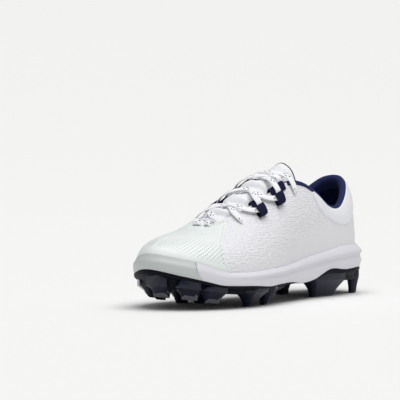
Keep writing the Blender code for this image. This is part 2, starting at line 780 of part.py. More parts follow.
def slab(name, outer, inner, material, parent):
    """A closed solid between two grids of the same size, joined round their borders."""
    rows, columns = outer.shape[:2]
    points = [*outer.reshape(-1, 3), *inner.reshape(-1, 3)]
    half = rows * columns
    faces = []
    for r in range(rows - 1):
        for c in range(columns - 1):
            a = r * columns + c
            quad = (a, a + 1, a + columns + 1, a + columns)
            faces += [quad, tuple(half + i for i in reversed(quad))]
    border = [(0, c) for c in range(columns)] + [(r, columns - 1) for r in range(1, rows)]
    border += [(rows - 1, c) for c in range(columns - 2, -1, -1)] + [(r, 0) for r in range(rows - 2, 0, -1)]
    rim = [r * columns + c for r, c in border]
    for a, b in zip(rim, rim[1:] + rim[:1]):
        faces.append((a, b, half + b, half + a))
    return new_object(name, points, faces, material, parent)


def grid_normals(grid):
    """Unit normals of a grid, upwards where its rows run back and its columns from lateral to medial."""
    normals = np.cross(np.gradient(grid, axis=0), np.gradient(grid, axis=1))
    return normals / np.linalg.norm(normals, axis=2, keepdims=True)


def through(points, count):
    """Evenly spaced points of a smooth curve through the points."""
    points = np.asarray(points, float)
    run = np.concatenate([[0], np.cumsum(np.linalg.norm(np.diff(points, axis=0), axis=1))])
    at = np.linspace(0, run[-1], count)
    return np.stack([curve(run, points[:, k], at) for k in range(3)], -1)


def inside_wall(at, up, room):
    """Points inside the upper, the given room off its inner face."""
    points = last(at, up)
    return points - outward_normals(at, up) * (wall_thickness(points) + room)[:, None]


def tongue_grid():
    """The tongue's outer face: a row for each station of its table, from under the vamp to the free top."""
    rows = []
    for share, room, crown, _, tuck in TONGUE:
        ups = np.array([1 - tuck, 1 - tuck / 2, 1.0])
        lateral = inside_wall(np.full(3, share), ups, np.full(3, room))
        medial = inside_wall(np.full(3, -share), ups, np.full(3, room))
        middle = (lateral[-1] + medial[-1]) / 2 + (0, 0, crown)
        ends = [lateral[-1], middle, medial[-1]] if share < THROAT_SHARE else [middle]
        rows.append(through([*lateral[:-1], *ends, *medial[-2::-1]], TONGUE_COLUMN_COUNT))
    return np.array(rows)


def make_tongue(material, parent):
    """The padded tongue, tucked under the vamp and inside both sides of the throat."""
    outer = tongue_grid()
    wall = np.array([row[3] for row in TONGUE])[:, None, None]
    return slab("tongue", outer, outer - grid_normals(outer) * wall, material, parent)


def beside_edge(at, down, off):
    """Points beside the free edge: down the upper's outside, or beyond its edge if negative, and off it."""
    at, down, off = np.broadcast_arrays(np.asarray(at, float), down, off)
    one = np.ones_like(at)
    top = last(at, one)
    below = last(at, one * 0.9)
    reach = np.linalg.norm(top - below, axis=1)
    up = 1 - 0.1 * np.clip(down, 0, None) / reach
    beyond = (top - below) / reach[:, None] * np.clip(-down, 0, None)[:, None]
    return last(at, up) + beyond + outward_normals(at, up) * off[:, None]


def half_turn(centre, start, end):
    """Points of a half circle round (centre, middle of start and end), off the edge from start to end."""
    radius = (end - start) / 2
    turns = np.radians(np.linspace(-90, 90, 7))
    return [(centre + abs(radius) * math.cos(a), (start + end) / 2 + radius * math.sin(a)) for a in turns]


def make_loop(name, share, side, material, parent):
    """A webbing loop: an inner leg, a turn over the throat's edge, an outer leg and a layer back over it."""
    inner = -(WALL + LOOP_GAP + LOOP_THICKNESS / 2)
    outer = LOOP_GAP + LOOP_THICKNESS / 2
    layer = outer + LOOP_THICKNESS + LOOP_TUNNEL
    over_edge = [(-down, off) for down, off in half_turn(0.6, inner, outer)]
    path = [(LOOP_INNER_LEG, inner), *over_edge, (LOOP_FREE_END, outer)]
    path += [*half_turn(LOOP_OUTER_LEG, outer, layer), (LOOP_FREE_END, layer)]
    path = np.array(path)
    tangent = np.gradient(path, axis=0)
    tangent /= np.linalg.norm(tangent, axis=1, keepdims=True)
    sideways = np.stack([-tangent[:, 1], tangent[:, 0]], -1) * LOOP_THICKNESS / 2
    sheets = []
    for line in (path - sideways, path + sideways):
        columns = [
            beside_edge(side * (share + LOOP_WIDTH_SHARE * w), line[:, 0], line[:, 1]) for w in (-0.5, 0, 0.5)
        ]
        sheets.append(np.array(columns))
    return slab(name, *sheets, material, parent)


def strip(name, path, normals, material, parent):
    """A flat lace with rounded sides along a path that lies on a surface with these normals."""
    tangents = np.gradient(path, axis=0)
    across = np.cross(normals, tangents)
    across /= np.linalg.norm(across, axis=1, keepdims=True)
    off = np.cross(tangents, across)
    off /= np.linalg.norm(off, axis=1, keepdims=True)
    points = []
    for centre, side, lift in zip(path, across, off):
        for x, y in LACE_SECTION:
            points.append(centre + side * x * LACE_WIDTH / 2 + lift * y * LACE_THICKNESS / 2)
    sides = len(LACE_SECTION)
    faces = [tuple(range(sides)), tuple(range(len(points) - sides, len(points)))]
    for i in range(len(path) - 1):
        faces += band(i * sides, (i + 1) * sides, sides)
    return new_object(name, points, faces, material, parent)


def lace_end(share, kind):
    """The last two points of a strip beside the throat's edge."""
    down, off, next_down, next_off = LACE_ENDS[kind]
    return beside_edge(np.full(2, share), np.array([down, next_down]), np.array([off, next_off]))


def lace_path(lateral, lateral_end, medial, medial_end, lift):
    """A strip from the throat's lateral edge to its medial edge, over the tongue."""
    grid = tongue_grid()[::-1]
    normals = -grid_normals(grid)
    stations = np.array([row[0] for row in TONGUE])[::-1]
    share = (lateral + medial) / 2
    column = TONGUE_COLUMN_COUNT // 2
    crown = np.array([np.interp(share, stations, grid[:, column, k]) for k in range(3)])
    normal = np.array([np.interp(share, stations, normals[:, column, k]) for k in range(3)])
    middle = crown + normal * (LACE_CLEAR + lift)
    ends = [*lace_end(lateral, lateral_end), middle, *lace_end(-medial, medial_end)[::-1]]
    return through(ends, LACE_STEPS), np.repeat(normal[None], LACE_STEPS, axis=0)


def make_laces(material, parent):
    """The bars, and each crossing of two strips as one solid."""
    for name, lower, lower_end, upper, upper_end, lift, strips in LACES:
        obj = strip(name, *lace_path(lower, lower_end, upper, upper_end, lift), material, parent)
        if strips == 1:
            continue
        path = lace_path(upper, upper_end, lower, lower_end, lift + LACE_THICKNESS * 0.8)
        other = strip(name + "_over", *path, material, parent)
        other.hide_render = True
        other.display_type = "WIRE"
        join = obj.modifiers.new("over", "BOOLEAN")
        join.operation = "UNION"
        join.object = other


def plain_material(name, colour, roughness):
    material = bpy.data.materials.new(name)
    material.use_nodes = True
    shader = material.node_tree.nodes["Principled BSDF"]
    shader.inputs["Base Color"].default_value = (*colour, 1.0)
    shader.inputs["Roughness"].default_value = roughness
    return material


def main():
    for obj in list(bpy.data.objects):
        bpy.data.objects.remove(obj)
    white_leather = plain_material("white_leather", (0.80, 0.81, 0.82), 0.5)
    smooth_leather = plain_material("smooth_leather", (0.82, 0.83, 0.84), 0.4)
    pale_film = plain_material("pale_film", (0.74, 0.79, 0.77), 0.35)
    white_foam = plain_material("white_foam", (0.76, 0.76, 0.79), 0.55)
    white_textile = plain_material("white_textile", (0.78, 0.78, 0.80), 0.85)
    pale_rand = plain_material("pale_rand", (0.70, 0.75, 0.73), 0.45)
    navy_plate = plain_material("navy_plate", (0.012, 0.014, 0.028), 0.35)
    navy_webbing = plain_material("navy_webbing", (0.016, 0.022, 0.075), 0.8)
    parent = bpy.data.objects.new("cleat", None)
    bpy.context.scene.collection.objects.link(parent)
    # The middle of the sole's outline stands over the origin
    outline = np.concatenate(side_rings())
    along, across = (outline.min(0) + outline.max(0))[:2] / 2
    parent.location = (-along * MM, -across * MM, 0.0)
    make_outsole(navy_plate, parent)
    make_midsole(white_foam, parent)
    make_toe_guard(pale_rand, parent)
    make_upper(white_leather, parent)
    make_vamp_overlay(pale_film, parent)
    make_heel_panel(smooth_leather, parent)
    make_insole(navy_webbing, parent)
    make_tongue(white_textile, parent)
    for name, share in LOOPS:
        make_loop(name + "_lateral", share, 1, navy_webbing, parent)
        make_loop(name + "_medial", share, -1, navy_webbing, parent)
    make_laces(white_textile, parent)


main()
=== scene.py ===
# %% [markdown]
# # A left softball cleat
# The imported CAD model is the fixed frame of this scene. Each cell below dresses one piece of the shoe:
# it says what the piece is on the real shoe, how it could be made in Blender, and why it is made this way.

import math

import bmesh
import bpy
import numpy as np
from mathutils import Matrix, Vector


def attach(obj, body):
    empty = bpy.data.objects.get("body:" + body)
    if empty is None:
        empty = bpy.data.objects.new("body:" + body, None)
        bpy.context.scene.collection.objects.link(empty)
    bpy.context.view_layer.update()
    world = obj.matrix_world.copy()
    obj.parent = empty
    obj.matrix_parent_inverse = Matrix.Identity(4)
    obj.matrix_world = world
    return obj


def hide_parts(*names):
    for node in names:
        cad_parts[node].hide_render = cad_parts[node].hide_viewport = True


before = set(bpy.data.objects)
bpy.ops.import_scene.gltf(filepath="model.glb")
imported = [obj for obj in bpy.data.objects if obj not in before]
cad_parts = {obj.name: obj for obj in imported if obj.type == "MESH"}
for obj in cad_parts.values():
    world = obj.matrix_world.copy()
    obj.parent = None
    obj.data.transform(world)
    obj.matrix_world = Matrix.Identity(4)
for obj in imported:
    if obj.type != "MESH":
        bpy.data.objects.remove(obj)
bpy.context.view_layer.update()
print("nodes:", ", ".join(sorted(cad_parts)))

# %% [markdown]
# ## The shoe's own sizes
# A shoe is lasted: its upper is pulled over a form, the last, and every seam, stitch and hole follows that
# form. The short tables that shape the CAD solids are repeated here, in millimetres from the heel's back,
# so that panels and stitches lie on the exact surface and not on its facets. A share runs from 0 at the
# heel's back to 1 at the toe's tip, on either side.

# %% Clearances and walls
# One millimetre in metres, then lengths in millimetres and places as shares
MM = 0.001
HEEL_TO_ORIGIN = np.array((128.75, 0.896, 0.0))
GAP = 0.45
WALL = 2.0
COLLAR_WALL = 5.5
COLLAR_PAD_DEPTH = 22.0
COLLAR_SHARE = 0.5
THROAT_SHARE = 0.85
RIM_LIP = 1.6
RIM_ROLL = 1.5
print("wall", WALL, "mm, padded to", COLLAR_WALL, "mm at the collar")

# %% Tables of the last
# share, along, lateral, medial
FEATHER = [
    (0.00, 5.0, 0.0, 0.0), (0.07, 9.0, 14.5, -14.5), (0.15, 22.0, 26.0, -25.5),
    (0.24, 45.0, 31.0, -29.5), (0.32, 66.0, 31.8, -28.5), (0.40, 88.0, 32.0, -26.0),
    (0.47, 108.0, 33.5, -25.5), (0.53, 126.0, 36.5, -28.0), (0.60, 146.0, 41.0, -33.0),
    (0.67, 166.0, 44.6, -39.0), (0.74, 187.0, 45.5, -43.3), (0.80, 206.0, 42.5, -43.8),
    (0.85, 218.5, 37.5, -41.0), (0.90, 232.5, 29.5, -35.5), (0.95, 246.0, 16.5, -26.0),
    (1.00, 255.5, -6.0, -6.0),
]
# share, along, lateral, medial, height
EDGE = [
    (0.00, 13.5, 0.0, 0.0, 99.5), (0.07, 18.5, 11.5, -11.5, 97.0), (0.15, 31.0, 21.5, -21.0, 86.5),
    (0.24, 47.5, 27.5, -26.5, 76.0), (0.32, 62.0, 28.3, -27.0, 77.8), (0.40, 79.5, 27.2, -24.5, 90.3),
    (0.47, 95.5, 24.6, -19.8, 98.0), (0.53, 110.0, 22.2, -16.5, 98.8), (0.60, 131.0, 21.2, -14.2, 91.8),
    (0.67, 152.0, 19.2, -14.0, 82.6), (0.74, 171.0, 15.0, -15.5, 75.0), (0.80, 183.5, 7.5, -15.0, 69.0),
    (0.85, 189.5, -5.5, -5.5, 64.3),
]
# share, along, across, height
RIDGE = [
    (0.85, 189.5, -5.5, 64.3), (0.90, 203.5, -5.7, 62.3),
    (0.95, 217.5, -5.9, 60.3), (1.00, 231.0, -6.0, 57.5),
]
# share, flare, rise, lean, reach, heading
SECTION = [
    (0.00, 3.0, 0.42, 34.0, 0.24, 0.0), (0.07, 3.0, 0.42, 34.0, 0.24, 30.0),
    (0.15, 4.0, 0.42, 32.0, 0.24, 60.0), (0.24, 6.0, 0.40, 24.0, 0.26, 84.0),
    (0.32, 8.0, 0.36, 22.0, 0.28, 90.0), (0.40, 9.0, 0.34, 24.0, 0.30, 90.0),
    (0.47, 10.0, 0.34, 28.0, 0.32, 90.0), (0.53, 10.0, 0.34, 33.0, 0.34, 90.0),
    (0.60, 12.0, 0.35, 39.0, 0.34, 91.0), (0.67, 12.0, 0.36, 45.0, 0.35, 93.0),
    (0.74, 12.0, 0.37, 54.0, 0.38, 98.0), (0.80, 12.0, 0.38, 66.0, 0.42, 105.0),
    (0.85, 12.0, 0.39, 84.0, 0.45, 114.0), (0.90, 12.0, 0.40, 86.0, 0.46, 130.0),
    (0.95, 12.0, 0.41, 85.0, 0.46, 152.0), (1.00, 12.0, 0.44, 83.0, 0.46, 180.0),
]
print("last:", len(FEATHER), "sections,", len(EDGE), "points of its free edge")

# %% Tables of the sole
# share, plate_edge, crease, rim, ledge
SOLE = [
    (0.00, 22.0, 34.5, 43.0, 7.0), (0.07, 21.8, 35.0, 43.0, 6.8), (0.15, 23.2, 36.0, 43.0, 6.0),
    (0.24, 22.5, 35.0, 42.8, 5.2), (0.32, 24.0, 33.0, 40.3, 4.8), (0.40, 16.9, 31.0, 37.5, 4.6),
    (0.47, 14.8, 29.0, 34.8, 4.6), (0.53, 16.8, 27.5, 32.4, 4.6), (0.60, 17.0, 26.5, 31.2, 4.6),
    (0.67, 16.4, 26.0, 30.6, 4.4), (0.74, 18.2, 25.5, 29.8, 4.2), (0.80, 19.2, 25.8, 30.0, 4.0),
    (0.85, 20.3, 27.5, 31.6, 4.0), (0.90, 24.5, 32.0, 37.3, 4.0), (0.95, 29.0, 36.5, 41.5, 4.0),
    (1.00, 33.5, 40.0, 45.0, 4.0),
]
# along, footbed, underside
FLOOR = [
    (-10.0, 30.0, 13.2), (40.0, 28.5, 12.7), (80.0, 26.5, 13.4), (110.0, 24.8, 14.2), (140.0, 22.4, 12.8),
    (165.0, 21.0, 11.2), (185.0, 21.0, 11.0), (210.0, 23.2, 12.6), (222.0, 25.6, 14.1), (235.0, 29.0, 16.0),
    (247.0, 33.0, 18.2), (256.0, 36.6, 20.0), (270.0, 42.2, 23.0),
]


def columns(table, names):
    """The table as one array for each name."""
    return {name: np.array([row[i] for row in table]) for i, name in enumerate(names.split())}


feather = columns(FEATHER, "share along lateral medial")
edge = columns(EDGE, "share along lateral medial height")
ridge = columns(RIDGE, "share along across height")
section = columns(SECTION, "share flare rise lean reach heading")
sole = columns(SOLE, "share plate_edge crease rim ledge")
floor = columns(FLOOR, "along footbed underside")
print("sole:", len(SOLE), "sections,", len(FLOOR), "stations of its floor")

# %% [markdown]
# ## The last as a function
# A surface that everything follows is best kept as a function: `last(at, up)` gives a point for a signed
# share round the shoe, positive on the outer side, and for a share up the wall. Each section is one Bezier
# curve from the footbed to the free edge, so the surface is smooth at any resolution.

# %% Smooth curves through a table
def curve(knots, values, at):
    """A smooth curve through the values. Each knot's slope is that of the parabola through its neighbours."""
    knots = np.asarray(knots, float)
    values = np.asarray(values, float)
    steps = np.diff(knots)
    rates = np.diff(values) / steps
    slopes = np.empty_like(values)
    slopes[1:-1] = (rates[:-1] * steps[1:] + rates[1:] * steps[:-1]) / (steps[:-1] + steps[1:])
    slopes[0] = 2 * rates[0] - slopes[1]
    slopes[-1] = 2 * rates[-1] - slopes[-2]
    at = np.clip(at, knots[0], knots[-1])
    i = np.clip(np.searchsorted(knots, at, side="right") - 1, 0, len(steps) - 1)
    u = (at - knots[i]) / steps[i]
    rise = values[i + 1] - values[i]
    run_in = slopes[i] * steps[i]
    run_out = slopes[i + 1] * steps[i]
    bend = 3 * rise - 2 * run_in - run_out
    return values[i] + u * (run_in + u * (bend + u * (run_in + run_out - 2 * rise)))


def signed_curve(share, lateral, medial, at, closed):
    """A curve over the signed share, positive on the lateral side, through both sides' values."""
    knots = np.concatenate([-share[:0:-1], share])
    values = np.concatenate([medial[:0:-1], lateral])
    if closed:
        knots = np.concatenate([-2 + share[-3:-1], knots, 2 - share[-2:-4:-1]])
        values = np.concatenate([lateral[-3:-1], values, medial[-2:-4:-1]])
    return curve(knots, values, at)


def both(table, column, at):
    """A column that is the same on both sides, at signed shares."""
    return signed_curve(table["share"], table[column], table[column], at, closed=True)


def footbed(along):
    return curve(floor["along"], floor["footbed"], along)


def underside(along):
    return curve(floor["along"], floor["underside"], along)


def wrapped(at):
    """Signed shares brought back between -1 and 1, past the toe's tip to the other side."""
    return np.where(at > 1, at - 2, np.where(at < -1, at + 2, at))


def unit(vectors):
    return vectors / np.linalg.norm(vectors, axis=-1, keepdims=True)


def lengths(points):
    """Running length along a row of points."""
    return np.concatenate([[0], np.cumsum(np.linalg.norm(np.diff(points, axis=0), axis=1))])


print("footbed", round(float(footbed(0.0)), 1), "mm up at the heel")

# %% The last
# Steps of the share over which directions are measured
TANGENT_STEP = 1e-3
NORMAL_STEP = 2e-3
# The rim lies below this share of the wall, and is found by halving
HIGHEST_RIM = 0.6
HALVINGS = 30
COLLAR_SAMPLES = 121
# Above this share the vamp's ridge takes the mean of both sides
RIDGE_UP = 0.985


def feather_plan(at):
    along = signed_curve(feather["share"], feather["along"], feather["along"], at, closed=True)
    across = signed_curve(feather["share"], feather["lateral"], feather["medial"], at, closed=True)
    return np.stack([along, across], -1)


def feather_line(at):
    """Points where the upper meets the footbed, and the outward direction in plan."""
    plan = feather_plan(at)
    ahead = feather_plan(wrapped(at + TANGENT_STEP))
    behind = feather_plan(wrapped(at - TANGENT_STEP))
    tangent = unit(ahead - behind)
    outward = np.stack([-tangent[:, 1], tangent[:, 0], np.zeros(len(plan))], -1)
    return np.column_stack([plan, footbed(plan[:, 0]) + GAP]), outward


def free_edge(at):
    """Points of the collar and throat edge, and of the vamp's ridge beyond the throat."""
    size = np.abs(at)
    inner = np.clip(at, -THROAT_SHARE, THROAT_SHARE)
    points = []
    sides = (("along", "along", "along"), ("across", "lateral", "medial"), ("height", "height", "height"))
    for name, lateral, medial in sides:
        on_edge = signed_curve(edge["share"], edge[lateral], edge[medial], inner, closed=False)
        points.append(np.where(size > THROAT_SHARE, curve(ridge["share"], ridge[name], size), on_edge))
    return np.stack(points, -1)


def last(at, up):
    """The upper's outer surface: at is the signed share round it, up runs from feather line to free edge."""
    base, outward = feather_line(at)
    top = free_edge(at)
    heading = np.radians(np.sign(at) * both(section, "heading", np.abs(at)))
    flare = np.radians(both(section, "flare", at))[:, None]
    lean = np.radians(both(section, "lean", at))[:, None]
    vertical = np.array([0.0, 0.0, 1.0])
    inward = np.stack([np.cos(heading), -np.sin(heading), np.zeros_like(heading)], -1)
    span = np.linalg.norm(top - base, axis=1, keepdims=True)
    leaving = np.cos(flare) * vertical + np.sin(flare) * outward
    reaching = np.cos(lean) * vertical + np.sin(lean) * inward
    second = base + leaving * both(section, "rise", at)[:, None] * span
    third = top - reaching * both(section, "reach", at)[:, None] * span
    s = up[:, None]
    return base * (1 - s) ** 3 + 3 * second * s * (1 - s) ** 2 + 3 * third * s**2 * (1 - s) + top * s**3


def outward_normals(at, up):
    """Unit normals of the last. On the vamp's ridge, where both sides meet, the mean of the two."""

    def one_side(at, up):
        round_shoe = last(wrapped(at + NORMAL_STEP), up) - last(wrapped(at - NORMAL_STEP), up)
        higher = np.clip(up + NORMAL_STEP, 0, 1)
        lower = np.clip(up - NORMAL_STEP, 0, 1)
        up_wall = last(at, higher) - last(at, lower)
        return unit(np.cross(up_wall, round_shoe))

    beyond_throat = np.abs(at) > THROAT_SHARE
    below = np.where(beyond_throat, np.minimum(up, RIDGE_UP), up)
    normals = one_side(at, below)
    shared = unit(normals + one_side(-at, below))
    return np.where((beyond_throat & (up > RIDGE_UP))[:, None], shared, normals)


def up_at_height(at, height):
    """How far up the last each share passes the given height."""
    low = np.zeros_like(at)
    high = np.full_like(at, HIGHEST_RIM)
    for _ in range(HALVINGS):
        middle = (low + high) / 2
        below = last(at, middle)[:, 2] < height
        low = np.where(below, middle, low)
        high = np.where(below, high, middle)
    return (low + high) / 2


def falloff(distance, run):
    """1 at the edge, 0 beyond the run, with a smooth slope between."""
    left = np.clip(1 - distance / run, 0, 1)
    return left * left * (3 - 2 * left)


def wall_thickness(points):
    """The upper's wall: thin, and padded towards the collar."""
    collar = free_edge(np.linspace(-COLLAR_SHARE, COLLAR_SHARE, COLLAR_SAMPLES))
    down = np.linalg.norm(points[:, None] - collar[None], axis=2).min(1)
    return WALL + (COLLAR_WALL - WALL) * falloff(down, COLLAR_PAD_DEPTH)


print("toe tip at", np.round(last(np.array([1.0]), np.array([0.5]))[0], 1), "mm")

# %% Shares evenly spaced along the outline
FINE_SHARES = np.linspace(-1, 1, 2001)
FINE_RUN = lengths(feather_line(FINE_SHARES)[0])
FINE_RUN -= np.interp(0, FINE_SHARES, FINE_RUN)


def arc_length(at):
    """Millimetres along the feather line from the heel's back, signed as the share is."""
    return np.interp(at, FINE_SHARES, FINE_RUN)


def even_shares(first, final, count, *exact):
    """Signed shares evenly spaced along the feather line, with the nearest one moved to each exact share."""
    runs = np.linspace(arc_length(first), arc_length(final), count)
    shares = np.interp(runs, FINE_RUN, FINE_SHARES)
    for mark in exact:
        shares[np.argmin(np.abs(shares - mark))] = mark
    return shares


print("outline", round(FINE_RUN[-1] - FINE_RUN[0]), "mm round")

# %% [markdown]
# ## Small helpers
# One function adds a node with its settings and links, for shaders and for Geometry Nodes alike. One turns
# sRGB hex colours to the linear values that shaders take. The others make meshes whose UV maps are in real
# lengths, so that a pattern's scale can be given in millimetres.

# %% Nodes, colours and materials
def linear(code):
    """The linear RGBA of an sRGB hex colour."""
    channels = [int(code[i : i + 2], 16) / 255 for i in (1, 3, 5)]
    return (*[c / 12.92 if c <= 0.04045 else ((c + 0.055) / 1.055) ** 2.4 for c in channels], 1.0)


def add(tree, kind, inputs=None, **settings):
    """Adds a node to the tree, with its properties set and its inputs set or linked."""
    made = tree.nodes.new(kind)
    for name, value in settings.items():
        setattr(made, name, value)
    for key, value in (inputs or {}).items():
        if isinstance(value, bpy.types.NodeSocket):
            tree.links.new(value, made.inputs[key])
        else:
            made.inputs[key].default_value = value
    return made


def new_material(name, **principled):
    """A material with a Principled BSDF, its tree, its shader and its texture coordinates."""
    material = bpy.data.materials.new(name)
    material.use_nodes = True
    tree = material.node_tree
    shader = tree.nodes["Principled BSDF"]
    for key, value in principled.items():
        shader.inputs[key.replace("_", " ")].default_value = value
    return material, tree, shader, add(tree, "ShaderNodeTexCoord")


print("middle grey is", round(linear("#808080")[0], 3), "in linear light")

# %% Meshes
# Points closer than this many millimetres are one point
DOUBLED = 0.001


def new_mesh(name, points, faces, uv=None, merge=0.0):
    """A mesh object from points in millimetres from the heel's back, with an optional UV for each point."""
    bm = bmesh.new()
    verts = [bm.verts.new(v) for v in ((np.asarray(points) - HEEL_TO_ORIGIN) * MM).tolist()]
    layer = bm.loops.layers.uv.new("UVMap")
    for face in faces:
        made = bm.faces.new([verts[i] for i in face])
        made.smooth = True
        if uv is not None:
            for loop, i in zip(made.loops, face):
                loop[layer].uv = (uv[i][0] * MM, uv[i][1] * MM)
    if merge:
        bmesh.ops.remove_doubles(bm, verts=bm.verts, dist=merge * MM)
    mesh = bpy.data.meshes.new(name)
    bm.to_mesh(mesh)
    bm.free()
    obj = bpy.data.objects.new(name, mesh)
    bpy.context.scene.collection.objects.link(obj)
    return obj


def grid_faces(rows, count):
    """Quads of a grid of rows of count points."""
    corners = [r * count + c for r in range(rows - 1) for c in range(count - 1)]
    return [(a, a + 1, a + count + 1, a + count) for a in corners]


def applied(obj):
    """The object with its modifiers made part of its mesh."""
    graph = bpy.context.evaluated_depsgraph_get()
    evaluated = obj.evaluated_get(graph)
    mesh = bpy.data.meshes.new_from_object(evaluated, preserve_all_data_layers=True, depsgraph=graph)
    mesh.name = obj.name
    obj.modifiers.clear()
    obj.data = mesh
    return obj


def outwards(obj, sharp=60):
    """Turns the faces of a closed mesh to the outside, and keeps edges past an angle sharp."""
    bm = bmesh.new()
    bm.from_mesh(obj.data)
    bmesh.ops.recalc_face_normals(bm, faces=bm.faces)
    bm.to_mesh(obj.data)
    bm.free()
    obj.data.set_sharp_from_angle(angle=math.radians(sharp))
    return obj


print("points closer than", DOUBLED, "mm are merged")

# %% Closed pieces and their finish
ROUNDING_SEGMENTS = 2


def slab(name, outer, inner, uv=None):
    """A closed solid between two grids of the same size, joined round their borders."""
    rows, count = outer.shape[:2]
    half = rows * count
    faces = grid_faces(rows, count)
    faces += [tuple(half + i for i in reversed(face)) for face in faces]
    border = [(0, c) for c in range(count)] + [(r, count - 1) for r in range(1, rows)]
    border += [(rows - 1, c) for c in range(count - 2, -1, -1)] + [(r, 0) for r in range(rows - 2, 0, -1)]
    rim = [r * count + c for r, c in border]
    faces += [(a, b, half + b, half + a) for a, b in zip(rim, rim[1:] + rim[:1])]
    points = np.concatenate([outer.reshape(-1, 3), inner.reshape(-1, 3)])
    both_uv = None if uv is None else np.concatenate([uv, uv])
    return outwards(new_mesh(name, points, faces, both_uv))


def swept(name, sections):
    """A closed tube through sections of equal count, with its UV map along and round it."""
    ring = np.concatenate([sections, sections[:, :1]], axis=1)
    rows, count = ring.shape[:2]
    along = np.repeat(lengths(ring.mean(1)), count)
    middle = lengths(ring[rows // 2])
    faces = grid_faces(rows, count)
    faces += [tuple(range(count - 1)), tuple(range((rows - 1) * count, rows * count - 1))]
    uv = np.stack([along, np.tile(middle, rows)], -1)
    return outwards(new_mesh(name, ring.reshape(-1, 3), faces, uv, merge=DOUBLED))


def finished(obj, slot, material, *nodes):
    """Gives the piece its material, if it has none yet, and hides the nodes it stands for. The slot is not
    used.
    """
    if material:
        obj.data.materials.clear()
        obj.data.materials.append(material)
    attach(obj, "root")
    if nodes:
        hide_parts(*nodes)
    print(obj.name, len(obj.data.polygons), "faces")
    return obj


def rounded_edges(obj, width, angle=50):
    """Rounds the edges that turn by more than an angle, as far as the width."""
    rounding = obj.modifiers.new("rounding", "BEVEL")
    rounding.width = width * MM
    rounding.segments = ROUNDING_SEGMENTS
    rounding.limit_method = "ANGLE"
    rounding.angle_limit = math.radians(angle)
    return outwards(applied(obj))


print("edges are rounded in", ROUNDING_SEGMENTS, "segments")

# %% [markdown]
# ## Camera
# The shoe is seen from its outer front, low over the floor, with a long lens. The camera stands where the
# photograph's did, and looks at the point that falls in the middle of the frame, so it needs no shift.

# %% Camera
# Pixels of the frame, millimetres on the shoe, metres to the camera, and degrees
IMAGE_WIDTH = 400
BALL = np.array((135.0, 0.0, 0.0))
BALL_PIXEL = (248.0, 300.8)
PIXELS_PER_MM = 1.2
DISTANCE = 3.0
AZIMUTH = 128
ELEVATION = 5
SENSOR_WIDTH = 36
FAR_CLIP = 200
azimuth = math.radians(AZIMUTH)
elevation = math.radians(ELEVATION)
level = math.cos(elevation)
away = np.array((math.sin(azimuth) * level, -math.cos(azimuth) * level, math.sin(elevation)))
right = np.array((math.cos(azimuth), math.sin(azimuth), 0.0))
above = np.cross(away, right)
foot = (BALL - HEEL_TO_ORIGIN) * MM
middle = IMAGE_WIDTH / 2
aim = foot + (right * (middle - BALL_PIXEL[0]) + above * (BALL_PIXEL[1] - middle)) / PIXELS_PER_MM * MM
stand = foot + away * DISTANCE
camera = bpy.data.objects.new("camera", bpy.data.cameras.new("camera"))
camera.data.sensor_width = SENSOR_WIDTH
camera.data.lens = PIXELS_PER_MM / MM * DISTANCE / IMAGE_WIDTH * camera.data.sensor_width
camera.data.clip_end = FAR_CLIP
camera.location = stand
camera.rotation_euler = Vector(aim - stand).to_track_quat("-Z", "Y").to_euler()
bpy.context.scene.collection.objects.link(camera)
bpy.context.scene.camera = camera
print("lens", round(camera.data.lens), "mm")

# %% [markdown]
# ## Leathers and film
# The quarters are a coated synthetic leather, embossed with level ripples that die out towards the heel. The
# toe is covered by a thin moulded film in a very pale grey-green, and the heel by a smooth coated panel. All
# are polyurethane at the surface, so they share an IOR of 1.5 and differ in grain and gloss.

# %% Grained leather
# Sizes of the ripples, how far they are pushed out of line, and their relief, in millimetres
RIPPLE_LENGTH = 5.5
RIPPLE_HEIGHT = 1.7
RIPPLE_PUSH = 3.0
EMBOSS_RELIEF = 0.6
FINE_GRAIN = 0.5
# The emboss fades in between these heights up the wall, which fall with the distance from the heel
EMBOSS_START = 46.0
EMBOSS_FULL = 70.0
EMBOSS_FALL = 0.24


